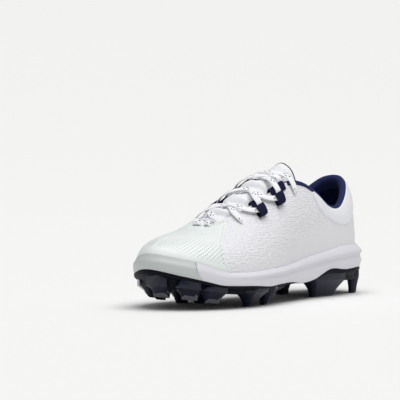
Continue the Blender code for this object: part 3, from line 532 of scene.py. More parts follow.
def grained_leather():
    """Embossed polyurethane leather: the ripples catch the light from above as fine level lines."""
    material, tree, shader, place = new_material("white_grained_leather", Roughness=0.5, IOR=1.5)
    # Level ripples, pushed out of line by a waver about 11 mm long
    along = add(tree, "ShaderNodeSeparateXYZ", {"Vector": place.outputs["UV"]})
    height_up = add(tree, "ShaderNodeSeparateXYZ", {"Vector": place.outputs["Object"]})
    spread = add(tree, "ShaderNodeCombineXYZ", {"X": along.outputs["X"], "Y": height_up.outputs["Z"]})
    waver = add(tree, "ShaderNodeTexNoise", {"Vector": spread.outputs[0], "Scale": 90.0, "Detail": 1.0})
    pushed = {0: waver.outputs["Color"], 1: (RIPPLE_PUSH * MM, RIPPLE_PUSH * MM, 0.0), 2: spread.outputs[0]}
    waved = add(tree, "ShaderNodeVectorMath", pushed, operation="MULTIPLY_ADD")
    per_metre = (1 / (RIPPLE_LENGTH * MM), 1 / (RIPPLE_HEIGHT * MM), 1)
    size = add(tree, "ShaderNodeMapping", {"Vector": waved.outputs[0], "Scale": per_metre})
    cells = {"Vector": size.outputs[0], "Scale": 1.0, "Smoothness": 0.5, "Randomness": 0.75}
    pebble = add(tree, "ShaderNodeTexVoronoi", cells, voronoi_dimensions="2D", feature="SMOOTH_F1")
    dome = {"Value": pebble.outputs["Distance"], "From Min": 0.05, "From Max": 0.62}
    dome |= {"To Min": 1.0, "To Max": 0.0}
    rise = add(tree, "ShaderNodeMapRange", dome, interpolation_type="SMOOTHSTEP")
    # The emboss fades out low on the wall and round the heel
    run = add(tree, "ShaderNodeMath", {0: along.outputs["X"]}, operation="ABSOLUTE")
    climb = {0: run.outputs[0], 1: EMBOSS_FALL, 2: along.outputs["Y"]}
    place_up = add(tree, "ShaderNodeMath", climb, operation="MULTIPLY_ADD")
    fade_in = {"Value": place_up.outputs[0], "To Min": 0.15, "To Max": 1.0}
    fade_in |= {"From Min": EMBOSS_START * MM, "From Max": EMBOSS_FULL * MM}
    fade = add(tree, "ShaderNodeMapRange", fade_in, interpolation_type="SMOOTHSTEP")
    depth = add(tree, "ShaderNodeMath", {0: rise.outputs[0], 1: fade.outputs[0]}, operation="MULTIPLY")
    grain = {"Vector": place.outputs["UV"], "Scale": 1 / (FINE_GRAIN * MM), "Detail": 2.0}
    fine = add(tree, "ShaderNodeTexNoise", grain)
    mixed = {0: fine.outputs["Fac"], 1: 0.1, 2: depth.outputs[0]}
    height = add(tree, "ShaderNodeMath", mixed, operation="MULTIPLY_ADD")
    relief = {"Height": height.outputs[0], "Strength": 0.75, "Distance": EMBOSS_RELIEF * MM}
    bump = add(tree, "ShaderNodeBump", relief)
    tree.links.new(bump.outputs[0], shader.inputs["Normal"])
    # Painted shade: the colour is darker in the valleys between the pebbles, and low on the wall and round
    # the heel, where the emboss fades
    painted_shade_tones = {0: depth.outputs[0], 6: linear("#E3E3E7"), 7: linear("#E9E9EC")}
    tint = add(tree, "ShaderNodeMix", painted_shade_tones, data_type="RGBA")
    tree.links.new(tint.outputs[2], shader.inputs["Base Color"])
    return material


leather_grained = grained_leather()
print(leather_grained.name)


# %% Smooth leather and film
# Relief of a fine texture and length of a drift of tone, in millimetres
FINE_RELIEF = 0.2
TONE_DRIFT = 25.0
# How far the roughness of a coat or moulding varies
GLOSS_SPREAD = 0.06


def fine_skin(name, colour, second_tone, roughness, pore, strength):
    """A smooth coat: a fine pore breaks its sheen, and a slow drift of tone keeps it from looking painted."""
    material, tree, shader, place = new_material(name, IOR=1.5)
    grain = {"Vector": place.outputs["Object"], "Scale": 1 / (pore * MM), "Detail": 3.0}
    pores = add(tree, "ShaderNodeTexNoise", grain)
    relief = {"Height": pores.outputs["Fac"], "Strength": strength, "Distance": FINE_RELIEF * MM}
    bump = add(tree, "ShaderNodeBump", relief)
    tree.links.new(bump.outputs[0], shader.inputs["Normal"])
    slow = {"Vector": place.outputs["Object"], "Scale": 1 / (TONE_DRIFT * MM)}
    drift = add(tree, "ShaderNodeTexNoise", slow)
    tones = {0: drift.outputs["Fac"], 6: linear(second_tone), 7: linear(colour)}
    tint = add(tree, "ShaderNodeMix", tones, data_type="RGBA")
    tree.links.new(tint.outputs[2], shader.inputs["Base Color"])
    gloss = {"Value": pores.outputs["Fac"]}
    gloss |= {"To Min": roughness - GLOSS_SPREAD, "To Max": roughness + GLOSS_SPREAD}
    rough = add(tree, "ShaderNodeMapRange", gloss)
    tree.links.new(rough.outputs[0], shader.inputs["Roughness"])
    return material


# Coated leather without an emboss: a soft sheen on a clean white
leather_smooth = fine_skin("white_smooth_leather", "#ECEDF1", "#E8E9ED", 0.42, 0.7, 0.1)
# Moulded polyurethane film: satin, with a slight green cast
film = fine_skin("pale_moulded_film", "#EBF0EE", "#E6ECEA", 0.4, 0.9, 0.12)
# The floor of a punched or embossed dot, which little light reaches
dot_floor = fine_skin("shaded_film_dot", "#848E8D", "#7A8483", 0.6, 0.5, 0.05)
# Braided polyester sewing thread, a little greyer than what it sews
thread = fine_skin("pale_polyester_thread", "#CDD3D2", "#C3C9C8", 0.6, 0.3, 0.2)
print("coats:", ", ".join(m.name for m in (leather_smooth, film, dot_floor, thread)))

# %% [markdown]
# ## Textiles
# The lining, the loops and the lace are woven, the tongue is a ribbed knit. A weave is too fine to model
# thread by thread, so two wave textures at right angles give its threads as bump, drawn a little coarser
# than life so that they still show.

# %% Weaves
# A wave texture repeats over this length at a scale of 1
WAVE_PERIOD = 2 * math.pi / 20
# Relief of the threads in millimetres
THREAD_RELIEF = 0.3


def woven(name, colour, gap_shade_colour, thread_mm, roughness=0.85, specular=0.25):
    """Plain weave of the given thread spacing: matte, with the gaps between the threads darkened as painted
    shade.
    """
    look = {"Roughness": roughness, "Specular_IOR_Level": specular}
    material, tree, shader, place = new_material(name, **look)
    waves = []
    for axis in ("X", "Y"):
        spacing = {"Vector": place.outputs["UV"], "Scale": WAVE_PERIOD / (thread_mm * MM)}
        waves.append(add(tree, "ShaderNodeTexWave", spacing, bands_direction=axis).outputs["Fac"])
    height = add(tree, "ShaderNodeMath", {0: waves[0], 1: waves[1]}, operation="MULTIPLY")
    relief = {"Height": height.outputs[0], "Strength": 0.5, "Distance": THREAD_RELIEF * MM}
    bump = add(tree, "ShaderNodeBump", relief)
    tree.links.new(bump.outputs[0], shader.inputs["Normal"])
    # Painted shade: the colour darkens towards the gap colour where the threads dip, between them
    painted_shade_tones = {0: height.outputs[0], 6: linear(gap_shade_colour), 7: linear(colour)}
    tint = add(tree, "ShaderNodeMix", painted_shade_tones, data_type="RGBA")
    tree.links.new(tint.outputs[2], shader.inputs["Base Color"])
    return material


# Brushed lining cloth: matte and deep, its threads barely told apart
lining_cloth = woven("navy_brushed_lining", "#2C3568", "#1C2350", 1.0)
# Plain polyester lining: pale, dull and even
pale_lining = woven("white_lining_cloth", "#E8E9EC", "#D5D7DC", 1.0)
# Nylon webbing: tight threads with a slight gloss
webbing = woven("navy_nylon_webbing", "#1D2248", "#0F122C", 1.1, roughness=0.75, specular=0.12)
# Knit over foam: soft and white, its loops drawn coarse enough to show
tongue_cloth = woven("white_ribbed_knit", "#F8F9FB", "#ECEEF2", 1.8)
# Satin weave: fine threads with more sheen than the knit below it
label_cloth = woven("white_satin_label", "#F1F2F5", "#E9EBEF", 0.8, roughness=0.5)
print("weaves:", ", ".join(m.name for m in (lining_cloth, pale_lining, webbing, tongue_cloth, label_cloth)))


# %% Lace braid with navy flecks
# Places and sizes of the flecks and the spacing of the threads, in millimetres
FLECK_MIDDLE = 2.3
FLECK_SHIFT = 1.7
FLECK_HALF_WIDTH = 0.5
FLECK_GROUP = 17.0
FLECK_PITCH = 2.4
BRAID_PITCH = 0.9
# Shares of a group that has flecks, and of a pitch that a fleck fills
GROUP_FILL = 0.42
FLECK_FILL = 0.68


def fleck_braid():
    """Flat polyester braid: fine threads, with short navy flecks woven in by groups."""
    material, tree, shader, place = new_material("white_flecked_braid", Roughness=0.75)
    across = add(tree, "ShaderNodeSeparateXYZ", {"Vector": place.outputs["UV"]})
    # Groups of flecks, and in each the flecks lie to either side of the middle by turns
    groups = {0: across.outputs["X"], 1: 1 / (FLECK_GROUP * MM)}
    group = add(tree, "ShaderNodeMath", groups, operation="MULTIPLY")
    in_group = add(tree, "ShaderNodeMath", {0: group.outputs[0]}, operation="FRACT")
    grouped = add(tree, "ShaderNodeMath", {0: in_group.outputs[0], 1: GROUP_FILL}, operation="LESS_THAN")
    steps = {0: across.outputs["X"], 1: 1 / (FLECK_PITCH * MM)}
    step = add(tree, "ShaderNodeMath", steps, operation="MULTIPLY")
    in_step = add(tree, "ShaderNodeMath", {0: step.outputs[0]}, operation="FRACT")
    dash = add(tree, "ShaderNodeMath", {0: in_step.outputs[0], 1: FLECK_FILL}, operation="LESS_THAN")
    count = add(tree, "ShaderNodeMath", {0: step.outputs[0]}, operation="FLOOR")
    turn = add(tree, "ShaderNodeMath", {0: count.outputs[0], 1: 2.0}, operation="MODULO")
    lane = {0: turn.outputs[0], 1: FLECK_SHIFT * MM, 2: FLECK_MIDDLE * MM}
    lanes = add(tree, "ShaderNodeMath", lane, operation="MULTIPLY_ADD")
    beside = {0: across.outputs["Y"], 1: lanes.outputs[0], 2: FLECK_HALF_WIDTH * MM}
    laned = add(tree, "ShaderNodeMath", beside, operation="COMPARE")
    some = add(tree, "ShaderNodeMath", {0: grouped.outputs[0], 1: dash.outputs[0]}, operation="MULTIPLY")
    fleck = add(tree, "ShaderNodeMath", {0: some.outputs[0], 1: laned.outputs[0]}, operation="MULTIPLY")
    colours = {0: fleck.outputs[0], 6: linear("#F3F3F6"), 7: linear("#30365A")}
    tint = add(tree, "ShaderNodeMix", colours, data_type="RGBA")
    tree.links.new(tint.outputs[2], shader.inputs["Base Color"])
    # Braid threads at a slant
    turned = {"Vector": place.outputs["UV"], "Rotation": (0, 0, math.radians(40))}
    slant = add(tree, "ShaderNodeMapping", turned)
    spacing = {"Vector": slant.outputs[0], "Scale": WAVE_PERIOD / (BRAID_PITCH * MM)}
    braid = add(tree, "ShaderNodeTexWave", spacing)
    relief = {"Height": braid.outputs["Fac"], "Strength": 0.35, "Distance": FINE_RELIEF * MM}
    bump = add(tree, "ShaderNodeBump", relief)
    tree.links.new(bump.outputs[0], shader.inputs["Normal"])
    return material


braid_cloth = fleck_braid()
print(braid_cloth.name)

# %% [markdown]
# ## Moulded pieces
# Midsole foam has a matte skin from its mould. The toe guard is a harder rand with more gloss. The stud
# plate is a thermoplastic: dark, with a hard highlight and a fine spark-eroded texture from the tool.

# %% Moulded materials
# Grain of the spark-eroded mould in millimetres
MOULD_TOOTH = 0.625
# Compression-moulded EVA foam: a closed, satin skin
foam = fine_skin("white_eva_foam", "#DEDEE4", "#D9D9E0", 0.52, 0.8, 0.08)
# Moulded rubber rand: smooth and slightly glossy
rand = fine_skin("pale_rubber_rand", "#C6CBCA", "#C0C5C4", 0.36, 0.9, 0.05)


def moulded_plastic(name, colour, specular, roughness):
    """Injection-moulded thermoplastic: near black, with the fine tooth of its spark-eroded mould."""
    look = {"Base_Color": linear(colour), "IOR": 1.5, "Specular_IOR_Level": specular}
    material, tree, shader, place = new_material(name, **look)
    tooth = {"Vector": place.outputs["Object"], "Scale": 1 / (MOULD_TOOTH * MM), "Detail": 2.0}
    eroded = add(tree, "ShaderNodeTexNoise", tooth)
    relief = {"Height": eroded.outputs["Fac"], "Strength": 0.1, "Distance": FINE_RELIEF * MM}
    bump = add(tree, "ShaderNodeBump", relief)
    tree.links.new(bump.outputs[0], shader.inputs["Normal"])
    gloss = {"Value": eroded.outputs["Fac"]}
    gloss |= {"To Min": roughness - GLOSS_SPREAD, "To Max": roughness + GLOSS_SPREAD}
    rough = add(tree, "ShaderNodeMapRange", gloss)
    tree.links.new(rough.outputs[0], shader.inputs["Roughness"])
    return material


# The plate's recesses are left matte by the mould, with a colour darker than the studs' as painted shade in
# the hollows, and the studs come out polished
shaded_plate_plastic = moulded_plastic("navy_tpu_matte_shaded", "#0D0F18", 0.08, 0.5)
stud_plastic = moulded_plastic("navy_tpu_polished", "#13172A", 0.3, 0.2)
# Stud faces near the tip that look down are pale and dull: partly scuffed by the ground, partly painted light
# from the floor below
floor_lit_worn_plastic = moulded_plastic("navy_tpu_scuffed_floor_lit", "#5E6065", 0.3, 0.5)
print("mouldings:", ", ".join(m.name for m in (foam, rand, shaded_plate_plastic, stud_plastic, floor_lit_worn_plastic)))

# %% [markdown]
# ## The upper
# The upper is one sheet pulled over the last. It is laid out as a fine grid of the last's function, from toe
# to toe by the heel. The two ends of the grid meet at the toe's tip and both sides meet on the vamp's ridge,
# so merging doubled points closes it, and a Solidify gives it its skin. The UV map is in real lengths.

# %% Sheets over the last
SKIN = 1.2


def laid(at, up, lift):
    """A grid of points over the last, lifted off it."""
    flat_at, flat_up = at.ravel(), up.ravel()
    off = np.broadcast_to(lift, at.shape).ravel()[:, None]
    return (last(flat_at, flat_up) + outward_normals(flat_at, flat_up) * off).reshape(*at.shape, 3)


def laid_uv(at, grid):
    """UVs in millimetres: along the outline, and up the wall."""
    climb = np.cumsum(np.linalg.norm(np.diff(grid, axis=0), axis=2), axis=0)
    climb = np.concatenate([np.zeros((1, grid.shape[1])), climb])
    return np.stack([arc_length(at.ravel()), climb.ravel()], -1)


def laid_sheet(name, at, up, lift, thickness, rounding=0.0):
    """A sheet laid over the last, with its wall towards the foot."""
    grid = laid(at, up, lift)
    obj = new_mesh(name, grid.reshape(-1, 3), grid_faces(*at.shape), laid_uv(at, grid), merge=DOUBLED)
    wall = obj.modifiers.new("wall", "SOLIDIFY")
    wall.thickness = thickness * MM
    wall.offset = 1
    return rounded_edges(obj, rounding) if rounding else outwards(applied(obj))


print("skin", SKIN, "mm")

# %% Upper shell
SHELL_ROUNDING = 0.35
# The same shares on both sides beyond the throat, so that the points on the ridge coincide
vamp_half = even_shares(THROAT_SHARE, 1, 41, THROAT_SHARE)
round_heel = even_shares(-THROAT_SHARE, THROAT_SHARE, 201, 0.0)
shares = np.concatenate([-vamp_half[::-1], round_heel[1:-1], vamp_half])
heights = np.concatenate([np.linspace(0, 0.9, 40), np.linspace(0.9, 1, 9)[1:]])
at, up = np.meshgrid(shares, heights)
shell = laid_sheet("upper_shell", at, up, 0.0, SKIN, rounding=SHELL_ROUNDING)
finished(shell, "white_leather", leather_grained, "upper")

# %% [markdown]
# ## Linings
# The collar is padded: foam behind a brushed navy cloth, thickest at the edge. It is a closed solid between
# the back of the shell and the upper's inner wall. In front of the collar a thin pale cloth lines the shell,
# and a sheet with a Solidify is enough for that.

# %% Collar pad and forefoot lining
LINING_SPLIT = 0.56
LINING_TOP = 0.985
BEHIND_SKIN = SKIN + 0.05
shares = even_shares(-LINING_SPLIT, LINING_SPLIT, 121)
heights = np.linspace(0, LINING_TOP, 34)
at, up = np.meshgrid(shares, heights)
depth = wall_thickness(last(at.ravel(), up.ravel())).reshape(at.shape)
outer = laid(at, up, -BEHIND_SKIN)
inner = laid(at, up, -depth)
pad = slab("collar_pad", outer, inner, laid_uv(at, inner))
finished(pad, "navy_webbing", lining_cloth)

half = even_shares(LINING_SPLIT, 1, 61, THROAT_SHARE)
heights = np.linspace(0, 1, 22)
at, up = np.meshgrid(np.concatenate([half, -half[-2::-1]]), heights)
up = np.where(np.abs(at) > THROAT_SHARE, up, up * LINING_TOP)
lining = laid_sheet("forefoot_lining", at, up, -BEHIND_SKIN, WALL - BEHIND_SKIN)
finished(lining, "white_textile", pale_lining)

# %% [markdown]
# ## Vamp overlay and heel panel
# These are cut from sheet and bonded on. A panel is a grid between its own border lines, drawn in the last's
# shares and heights, so it lies on the upper without fitting. The first rows inside the border drop to the
# leather, which rounds the cut edge. The heel panel has foam under it, so it swells a little in the middle.

# %% Panel borders
# up, share
VAMP = [(0.10, 0.815), (0.28, 0.842), (0.50, 0.838), (0.72, 0.816), (0.85, 0.799), (1.00, 0.763)]
# share, up
HEEL = [
    (0.000, 0.600), (0.140, 0.565), (0.200, 0.545), (0.250, 0.630),
    (0.320, 0.715), (0.370, 0.745), (0.405, 0.820), (0.418, 0.930),
]
vamp = columns(VAMP, "up share")
heel = columns(HEEL, "share up")
PANEL_LIFT = 1.1
PANEL_SINK = 0.15
FILM_FACE = PANEL_LIFT - PANEL_SINK
PANEL_SHEET = 0.3
PANEL_TOP = 0.965
FOOT_GAP = 0.3
LINE_GUESS = 0.82
LINE_ROUNDS = 4
BORDER_STEPS = np.array((0.0, 0.12, 0.35, 0.8))
BORDER_LIFTS = np.array((0.0, 0.55, 0.88, 1.0))


def bordered(length, count, roll=1.0):
    """Shares across a panel of the given length, close together at both borders, and each one's lift."""
    near = BORDER_STEPS * roll / length
    inner = np.linspace(near[-1], 1 - near[-1], count)[1:-1]
    lifts = np.concatenate([BORDER_LIFTS, np.ones(count - 2), BORDER_LIFTS[::-1]])
    return np.concatenate([near, inner, 1 - near[::-1]]), lifts


def vamp_foot(share):
    """How far up the last the overlay starts, just above the midsole's rim."""
    return up_at_height(share, both(sole, "rim", share) + FOOT_GAP)


def vamp_line(level):
    """The share where the overlay ends at this level. It depends on its own height, so it is refined."""
    line = LINE_GUESS
    for _ in range(LINE_ROUNDS):
        low = vamp_foot(np.array([line]))[0]
        line = float(curve(vamp["up"], vamp["share"], low + (PANEL_TOP - low) * level))
    return line


print("overlay's rear edge at share", round(vamp_line(0.5), 3))

# %% Vamp overlay
# Height and length in millimetres, and the share over which its top border steps up to the ridge
OVERLAY_HEIGHT = 62
OVERLAY_LENGTH = 150
STEP_UP_RUN = 0.006
RIDGE_ROWS = 5
level_row, row_lift = bordered(OVERLAY_HEIGHT, 34)
column_row, column_lift = bordered(OVERLAY_LENGTH, 121)
# There is no border on the ridge, so the last rows are evenly spaced there
ridge_row = level_row.copy()
ridge_row[-RIDGE_ROWS:] = np.linspace(level_row[-RIDGE_ROWS], 1, RIDGE_ROWS)
at, up, lift = [], [], []
for level, ridge_level, level_lift in zip(level_row, ridge_row, row_lift):
    line = vamp_line(level)
    past_toe = line + (2 - 2 * line) * column_row
    share = np.minimum(past_toe, 2 - past_toe)
    low = vamp_foot(share)
    # Beyond the throat the overlay runs over the ridge, and its top border steps up to it
    ridge_share = np.clip((share - THROAT_SHARE) / STEP_UP_RUN, 0, 1)
    top = PANEL_TOP + (1 - PANEL_TOP) * ridge_share
    at.append(np.where(past_toe <= 1, share, -share))
    up.append(low + (top - low) * (level + (ridge_level - level) * ridge_share))
    own_lift = np.where((share > THROAT_SHARE) & (level > 0.5), 1.0, level_lift)
    lift.append(np.minimum(own_lift, column_lift) * PANEL_LIFT - PANEL_SINK)
overlay = laid_sheet("vamp_overlay_film", np.array(at), np.array(up), np.array(lift), PANEL_SHEET)
finished(overlay, "pale_film", film, "vamp_overlay")

# %% Heel panel
PANEL_SWELL = 1.0
HEEL_ROLL = 4.0
HEEL_HEIGHT = 24
HEEL_LENGTH = 190
HEEL_TOP = 0.975
level_row, row_lift = bordered(HEEL_HEIGHT, 18, HEEL_ROLL)
column_row, column_lift = bordered(HEEL_LENGTH, 121, HEEL_ROLL)
share = heel["share"][-1] * (2 * column_row - 1)
low = curve(heel["share"], heel["up"], np.abs(share))
at = np.repeat(share[None], len(level_row), axis=0)
up = low + (HEEL_TOP - low) * level_row[:, None]
swell = np.sin(np.pi * np.clip(level_row, 0, 1))[:, None] * np.sin(np.pi * column_row) ** 0.5 * PANEL_SWELL
lift = np.minimum(row_lift[:, None], column_lift) * PANEL_LIFT - PANEL_SINK + swell
panel = laid_sheet("heel_panel_leather", at, up, lift, PANEL_SHEET)
finished(panel, "smooth_leather", leather_smooth, "heel_panel")

# %% [markdown]
# ## Collar binding
# The padded collar ends in a navy binding that rolls from the outside over the edge and down onto the pad.
# It is a closed section swept along the edge: each point of the section is given by how far it lies down the
# wall from the edge and how far off the surface.

# %% Collar binding
def through(points, count):
    """Evenly spaced points of a smooth curve through the points."""
    points = np.asarray(points, float)
    run = lengths(points)
    at = np.linspace(0, run[-1], count)
    return np.stack([curve(run, points[:, k], at) for k in range(points.shape[1])], -1)


# Distances from the free edge are measured on this share of the wall below it
EDGE_SHARE = 0.1


def top_stretch(at):
    """Vectors up the wall's last stretch to the free edge."""
    one = np.ones_like(at)
    return last(at, one) - last(at, one * (1 - EDGE_SHARE))


def up_below_edge(at, down):
    """How far up the last each place lies that is this many millimetres down from the free edge."""
    return 1 - EDGE_SHARE * down / np.linalg.norm(top_stretch(at), axis=1)


def beside_edge(at, down, off):
    """Points beside the free edge: down the upper's outside, or beyond its edge if negative, and off it."""
    at, down, off = np.broadcast_arrays(np.asarray(at, float), down, off)
    up = up_below_edge(at, np.clip(down, 0, None))
    beyond = unit(top_stretch(at)) * np.clip(-down, 0, None)[:, None]
    return last(at, up) + beyond + outward_normals(at, up) * off[:, None]


# down, off
BINDING = [
    (3.4, 0.1), (3.3, 0.6), (2.4, 0.9), (0.9, 0.9), (-0.5, 0.4), (-1.4, -0.8), (-1.7, -2.4), (-1.3, -4.0),
    (0.2, -5.3), (3.0, -5.9), (8.0, -5.9), (11.0, -5.6), (11.2, -5.0), (6.0, -3.6), (2.0, -1.8), (3.0, -0.4),
]
BINDING_SHARE = 0.535
profile = through(BINDING + BINDING[:1], 33)[:-1]
shares = np.linspace(-BINDING_SHARE, BINDING_SHARE, 181)
rings = np.array([beside_edge(np.full(len(profile), s), profile[:, 0], profile[:, 1]) for s in shares])
finished(swept("collar_binding", rings), "navy_webbing", lining_cloth)

# %% [markdown]
# ## Midsole and toe guard
# The foam unit is a stack of rings round the shoe: foot, wall, a trough that dies out towards the toe, the
# crease above it, rim, and the recess that holds the upper. The toe guard takes the outer rings round the
# toe. Both have many more columns than the CAD solid, extra rings that round each corner, and a seam that
# curves back at its foot.

# %% Rings of the sole
GUARD_SHARE = 0.915
GUARD_STEP = 0.002
GUARD_SEAM_RUN = 0.07
GUARD_SEAM_BACK = 0.018
SOLE_STEPS = 150
# shares, and how far the foot stands out from the wall
FOOT_REACH = [(0, 0.6, 0.9, 1), (-1.8, -1.8, -0.7, -0.7)]
TROUGH_DEPTH = 1.8
CREASE_REACH = 0.9
TROUGH_SHARE = 0.62
TROUGH_FADE = 0.24
TROUGH_DROP = 2.0
CREASE_RISE = 0.5
WALL_LEVEL = 0.45
RECESS_GAP = GAP * 0.4
CORNER_EASE = 0.32
FILM_CLEAR = 0.1
FILM_FOOT = 0.84
FILM_FOOT_RUN = 0.03
FILM_TUCK = 0.7


def loop_shares():
    """Signed shares of the closed loop: from the heel to the toe laterally, and back medially."""
    fine = np.linspace(0, 1, 1001)
    run = (arc_length(fine) - arc_length(-fine)) / 2
    half = np.interp(np.linspace(0, run[-1], SOLE_STEPS), run, fine)
    half[np.argmin(np.abs(half - GUARD_SHARE))] = GUARD_SHARE
    half = np.sort(np.append(half, GUARD_SHARE + GUARD_STEP))
    return np.concatenate([half, -half[-2:0:-1]])


def seamed(at, depth):
    """Shares moved back beside the guard's seam. depth is 0 at the rim and 1 at the guard's foot."""
    back = GUARD_SEAM_BACK * depth**2 * falloff(np.abs(np.abs(at) - GUARD_SHARE), GUARD_SEAM_RUN)
    return at - np.sign(at) * back


def side_ring(name, at):
    """A ring of the sole's side at these shares."""
    base, outward = feather_line(at)
    bottom, crease, rim = (both(sole, column, at) for column in ("plate_edge", "crease", "rim"))
    ledge = both(sole, "ledge", at)[:, None]
    if name == "rim":
        rim_up = up_at_height(at, rim)
        plan = last(at, rim_up) + outward_normals(at, rim_up) * (1, 1, 0) * (GAP + RIM_LIP)
        return np.column_stack([plan[:, :2], rim - RIM_ROLL])
    trough = falloff(np.clip(np.abs(at) - TROUGH_SHARE, 0, 1), TROUGH_FADE)[:, None]
    foot = np.interp(np.abs(at), *FOOT_REACH)[:, None]
    reaches = {"foot": foot, "wall": 0.0, "trough": -TROUGH_DEPTH * trough, "crease": CREASE_REACH * trough}
    wall = bottom + (crease - bottom) * WALL_LEVEL
    heights = {"foot": bottom, "wall": wall}
    heights |= {"trough": crease - TROUGH_DROP, "crease": crease + CREASE_RISE}
    return np.column_stack([(base + outward * (ledge + reaches[name]))[:, :2], heights[name]])


SIDE_DEPTHS = {"foot": 1.0, "wall": 0.65, "trough": 0.35, "crease": 0.25, "rim": 0.0}


def side_rings(at):
    return [side_ring(name, seamed(at, depth)) for name, depth in SIDE_DEPTHS.items()]


def recess(at, level):
    """A ring just outside the upper, at a share between footbed and rim."""
    up = up_at_height(at, both(sole, "rim", at)) * level
    outward = unit(outward_normals(at, up) * (1, 1, 0))
    return last(at, up) + outward * RECESS_GAP


def rim_edge(at):
    """The sole's top edge, against the leather, or against the film's face round the toe."""
    film_share = falloff(FILM_FOOT - np.abs(at), FILM_FOOT_RUN)
    up = up_at_height(at, both(sole, "rim", at) + FILM_TUCK * film_share)
    off = RECESS_GAP + (FILM_FACE + FILM_CLEAR - RECESS_GAP) * film_share
    return last(at, up) + outward_normals(at, up) * off[:, None]


def rounded(rings, corners):
    """The rings with each corner split in three, eased towards its neighbours."""
    made = []
    for i, ring in enumerate(rings):
        if i not in corners:
            made.append(ring)
            continue
        before = (rings[i - 1] - ring) * corners[i]
        after = (rings[i + 1] - ring) * corners[i]
        made += [ring + before, ring + (before + after) * CORNER_EASE, ring + after]
    return made


LOOP = loop_shares()
print("columns of the sole:", len(LOOP))

# %% Closed solids from rings
CAP_POINTS = 22


def edge_distance(points, ring):
    """Plan distance from each point to the closed ring."""
    starts = ring[:, :2]
    runs = np.roll(starts, -1, axis=0) - starts
    offsets = points[:, None, :2] - starts[None]
    share = np.clip((offsets * runs).sum(-1) / (runs**2).sum(-1), 0, 1)
    return np.linalg.norm(offsets - share[..., None] * runs, axis=-1).min(1)


def capped(name, rings, low_height, high_height):
    """A closed solid from rings, filled below the first and inside the last with rungs from side to side."""
    count = len(rings[0])
    points = list(np.concatenate(rings))
    faces = []
    for r in range(len(rings) - 1):
        for c in range(count):
            after = (c + 1) % count
            faces.append((r * count + c, r * count + after, (r + 1) * count + after, (r + 1) * count + c))
    across = (1 - np.cos(np.pi * np.linspace(0, 1, CAP_POINTS + 2)[1:-1, None])) / 2
    for start, ring, height in ((0, rings[0], low_height), (len(points) - count, rings[-1], high_height)):
        rungs = []
        for k in range(1, count // 2):
            inner = ring[k] + (ring[count - k] - ring[k]) * across
            inner[:, 2] = height(inner[:, 0], edge_distance(inner, ring), inner[:, 2])
            rungs.append([start + k, *range(len(points), len(points) + CAP_POINTS), start + count - k])
            points.extend(inner)
        for row, following in zip(rungs, rungs[1:]):
            faces += list(zip(row, row[1:], following[1:], following))
        for end, row in ((start, rungs[0]), (start + count // 2, rungs[-1])):
            faces += [(a, b, end) for a, b in zip(row, row[1:])]
    points = np.array(points)
    return outwards(new_mesh(name, points, faces, points[:, :2], merge=DOUBLED))


print("a cap has", CAP_POINTS, "points across")

# %% Midsole
PLATE_THICKNESS = 3.0
PLATE_CUP_RUN = 10.0
FOAM_GAP = GAP * 0.5
SEAT_LEVEL = 0.66
LIP_LEVEL = 0.5
SEAT_OUT = 0.8
# Rings whose corners are rounded, and how far towards their neighbours
CORNERS = {2: 0.3, 3: 0.35, 4: 0.35}


def plate_top(along, distance, edge_height):
    centre = underside(along) + PLATE_THICKNESS
    return centre + (edge_height - centre) * falloff(distance, PLATE_CUP_RUN)


def foam_bottom(along, distance, edge_height):
    return plate_top(along, distance, edge_height) + FOAM_GAP


def foam_top(along, distance, edge_height):
    return footbed(along)


guarded = (np.abs(LOOP) > GUARD_SHARE + GUARD_STEP / 2)[:, None]
seat = recess(LOOP, SEAT_LEVEL) + feather_line(LOOP)[1] * SEAT_OUT
outer = rounded([*side_rings(LOOP), rim_edge(LOOP)], CORNERS)
outer[0] = outer[0] + (0, 0, FOAM_GAP)
# Behind the guard the foam steps in by the guard's thickness
stepped = []
for ring in outer[:-1]:
    inner = np.column_stack([seat[:, :2], np.minimum(ring[:, 2], seat[:, 2])])
    stepped.append(np.where(guarded, inner, ring))
lip = np.where(guarded, recess(LOOP, SEAT_LEVEL), outer[-1])
rings = [*stepped, lip, recess(LOOP, LIP_LEVEL), recess(LOOP, 0.0)]
midsole = capped("midsole_foam", rings, foam_bottom, foam_top)
finished(midsole, "white_foam", foam, "midsole")

# %% Toe guard
GUARD_START = 0.006
GUARD_TOP_LEVEL = 0.7
GUARD_SEAT_OUT = 1.2
half = np.concatenate([[GUARD_SHARE + GUARD_STEP], even_shares(GUARD_SHARE + GUARD_START, 1, 40)])
at = np.concatenate([half, -half[-2::-1]])
outer = rounded([*side_rings(at), rim_edge(at)], CORNERS)
outer[0] = outer[0] + (0, 0, FOAM_GAP)
inner_top = recess(at, GUARD_TOP_LEVEL)
seat = recess(at, SEAT_LEVEL) + feather_line(at)[1] * GUARD_SEAT_OUT
inner_foot = np.column_stack([seat[:, :2], outer[0][:, 2]])
guard = swept("toe_guard_rand", np.array([*outer, inner_top, seat, inner_foot]).transpose(1, 0, 2))
finished(guard, "pale_rand", rand, "toe_guard")

# %% [markdown]
# ## Stud plate
# Plate and studs are one moulding. The plate is a shallow cup: a thin lip under the foam, and a wall that
# falls back below it. Each stud is a tapering block with bevelled edges, and one near the plate's edge runs
# up to the lip as a buttress. Boolean unions weld the studs on, and each face keeps its finish: matte
# recesses darkened as painted shade, polished studs, and tips pale where they look down, partly scuffed and
# partly painted with the floor's light.

# %% Plate
# inset from the lip, share of the height from the lip down to the underside
PLATE_WALL = [
    (8.5, 1.0), (8.2, 0.8), (7.2, 0.6), (5.2, 0.44), (2.4, 0.34), (0.3, 0.28), (-0.2, 0.12), (0.0, 0.0),
]
# shares, and how much of the inset they take
PLATE_HOLLOW = [(0, 0.25, 0.45, 0.85, 1), (0.4, 0.45, 0.9, 1, 0.9)]
PLATE_FLOOR_RISE = 0.6
plate_lip = side_ring("foot", seamed(LOOP, 1.0))
plate_outward = feather_line(LOOP)[1]


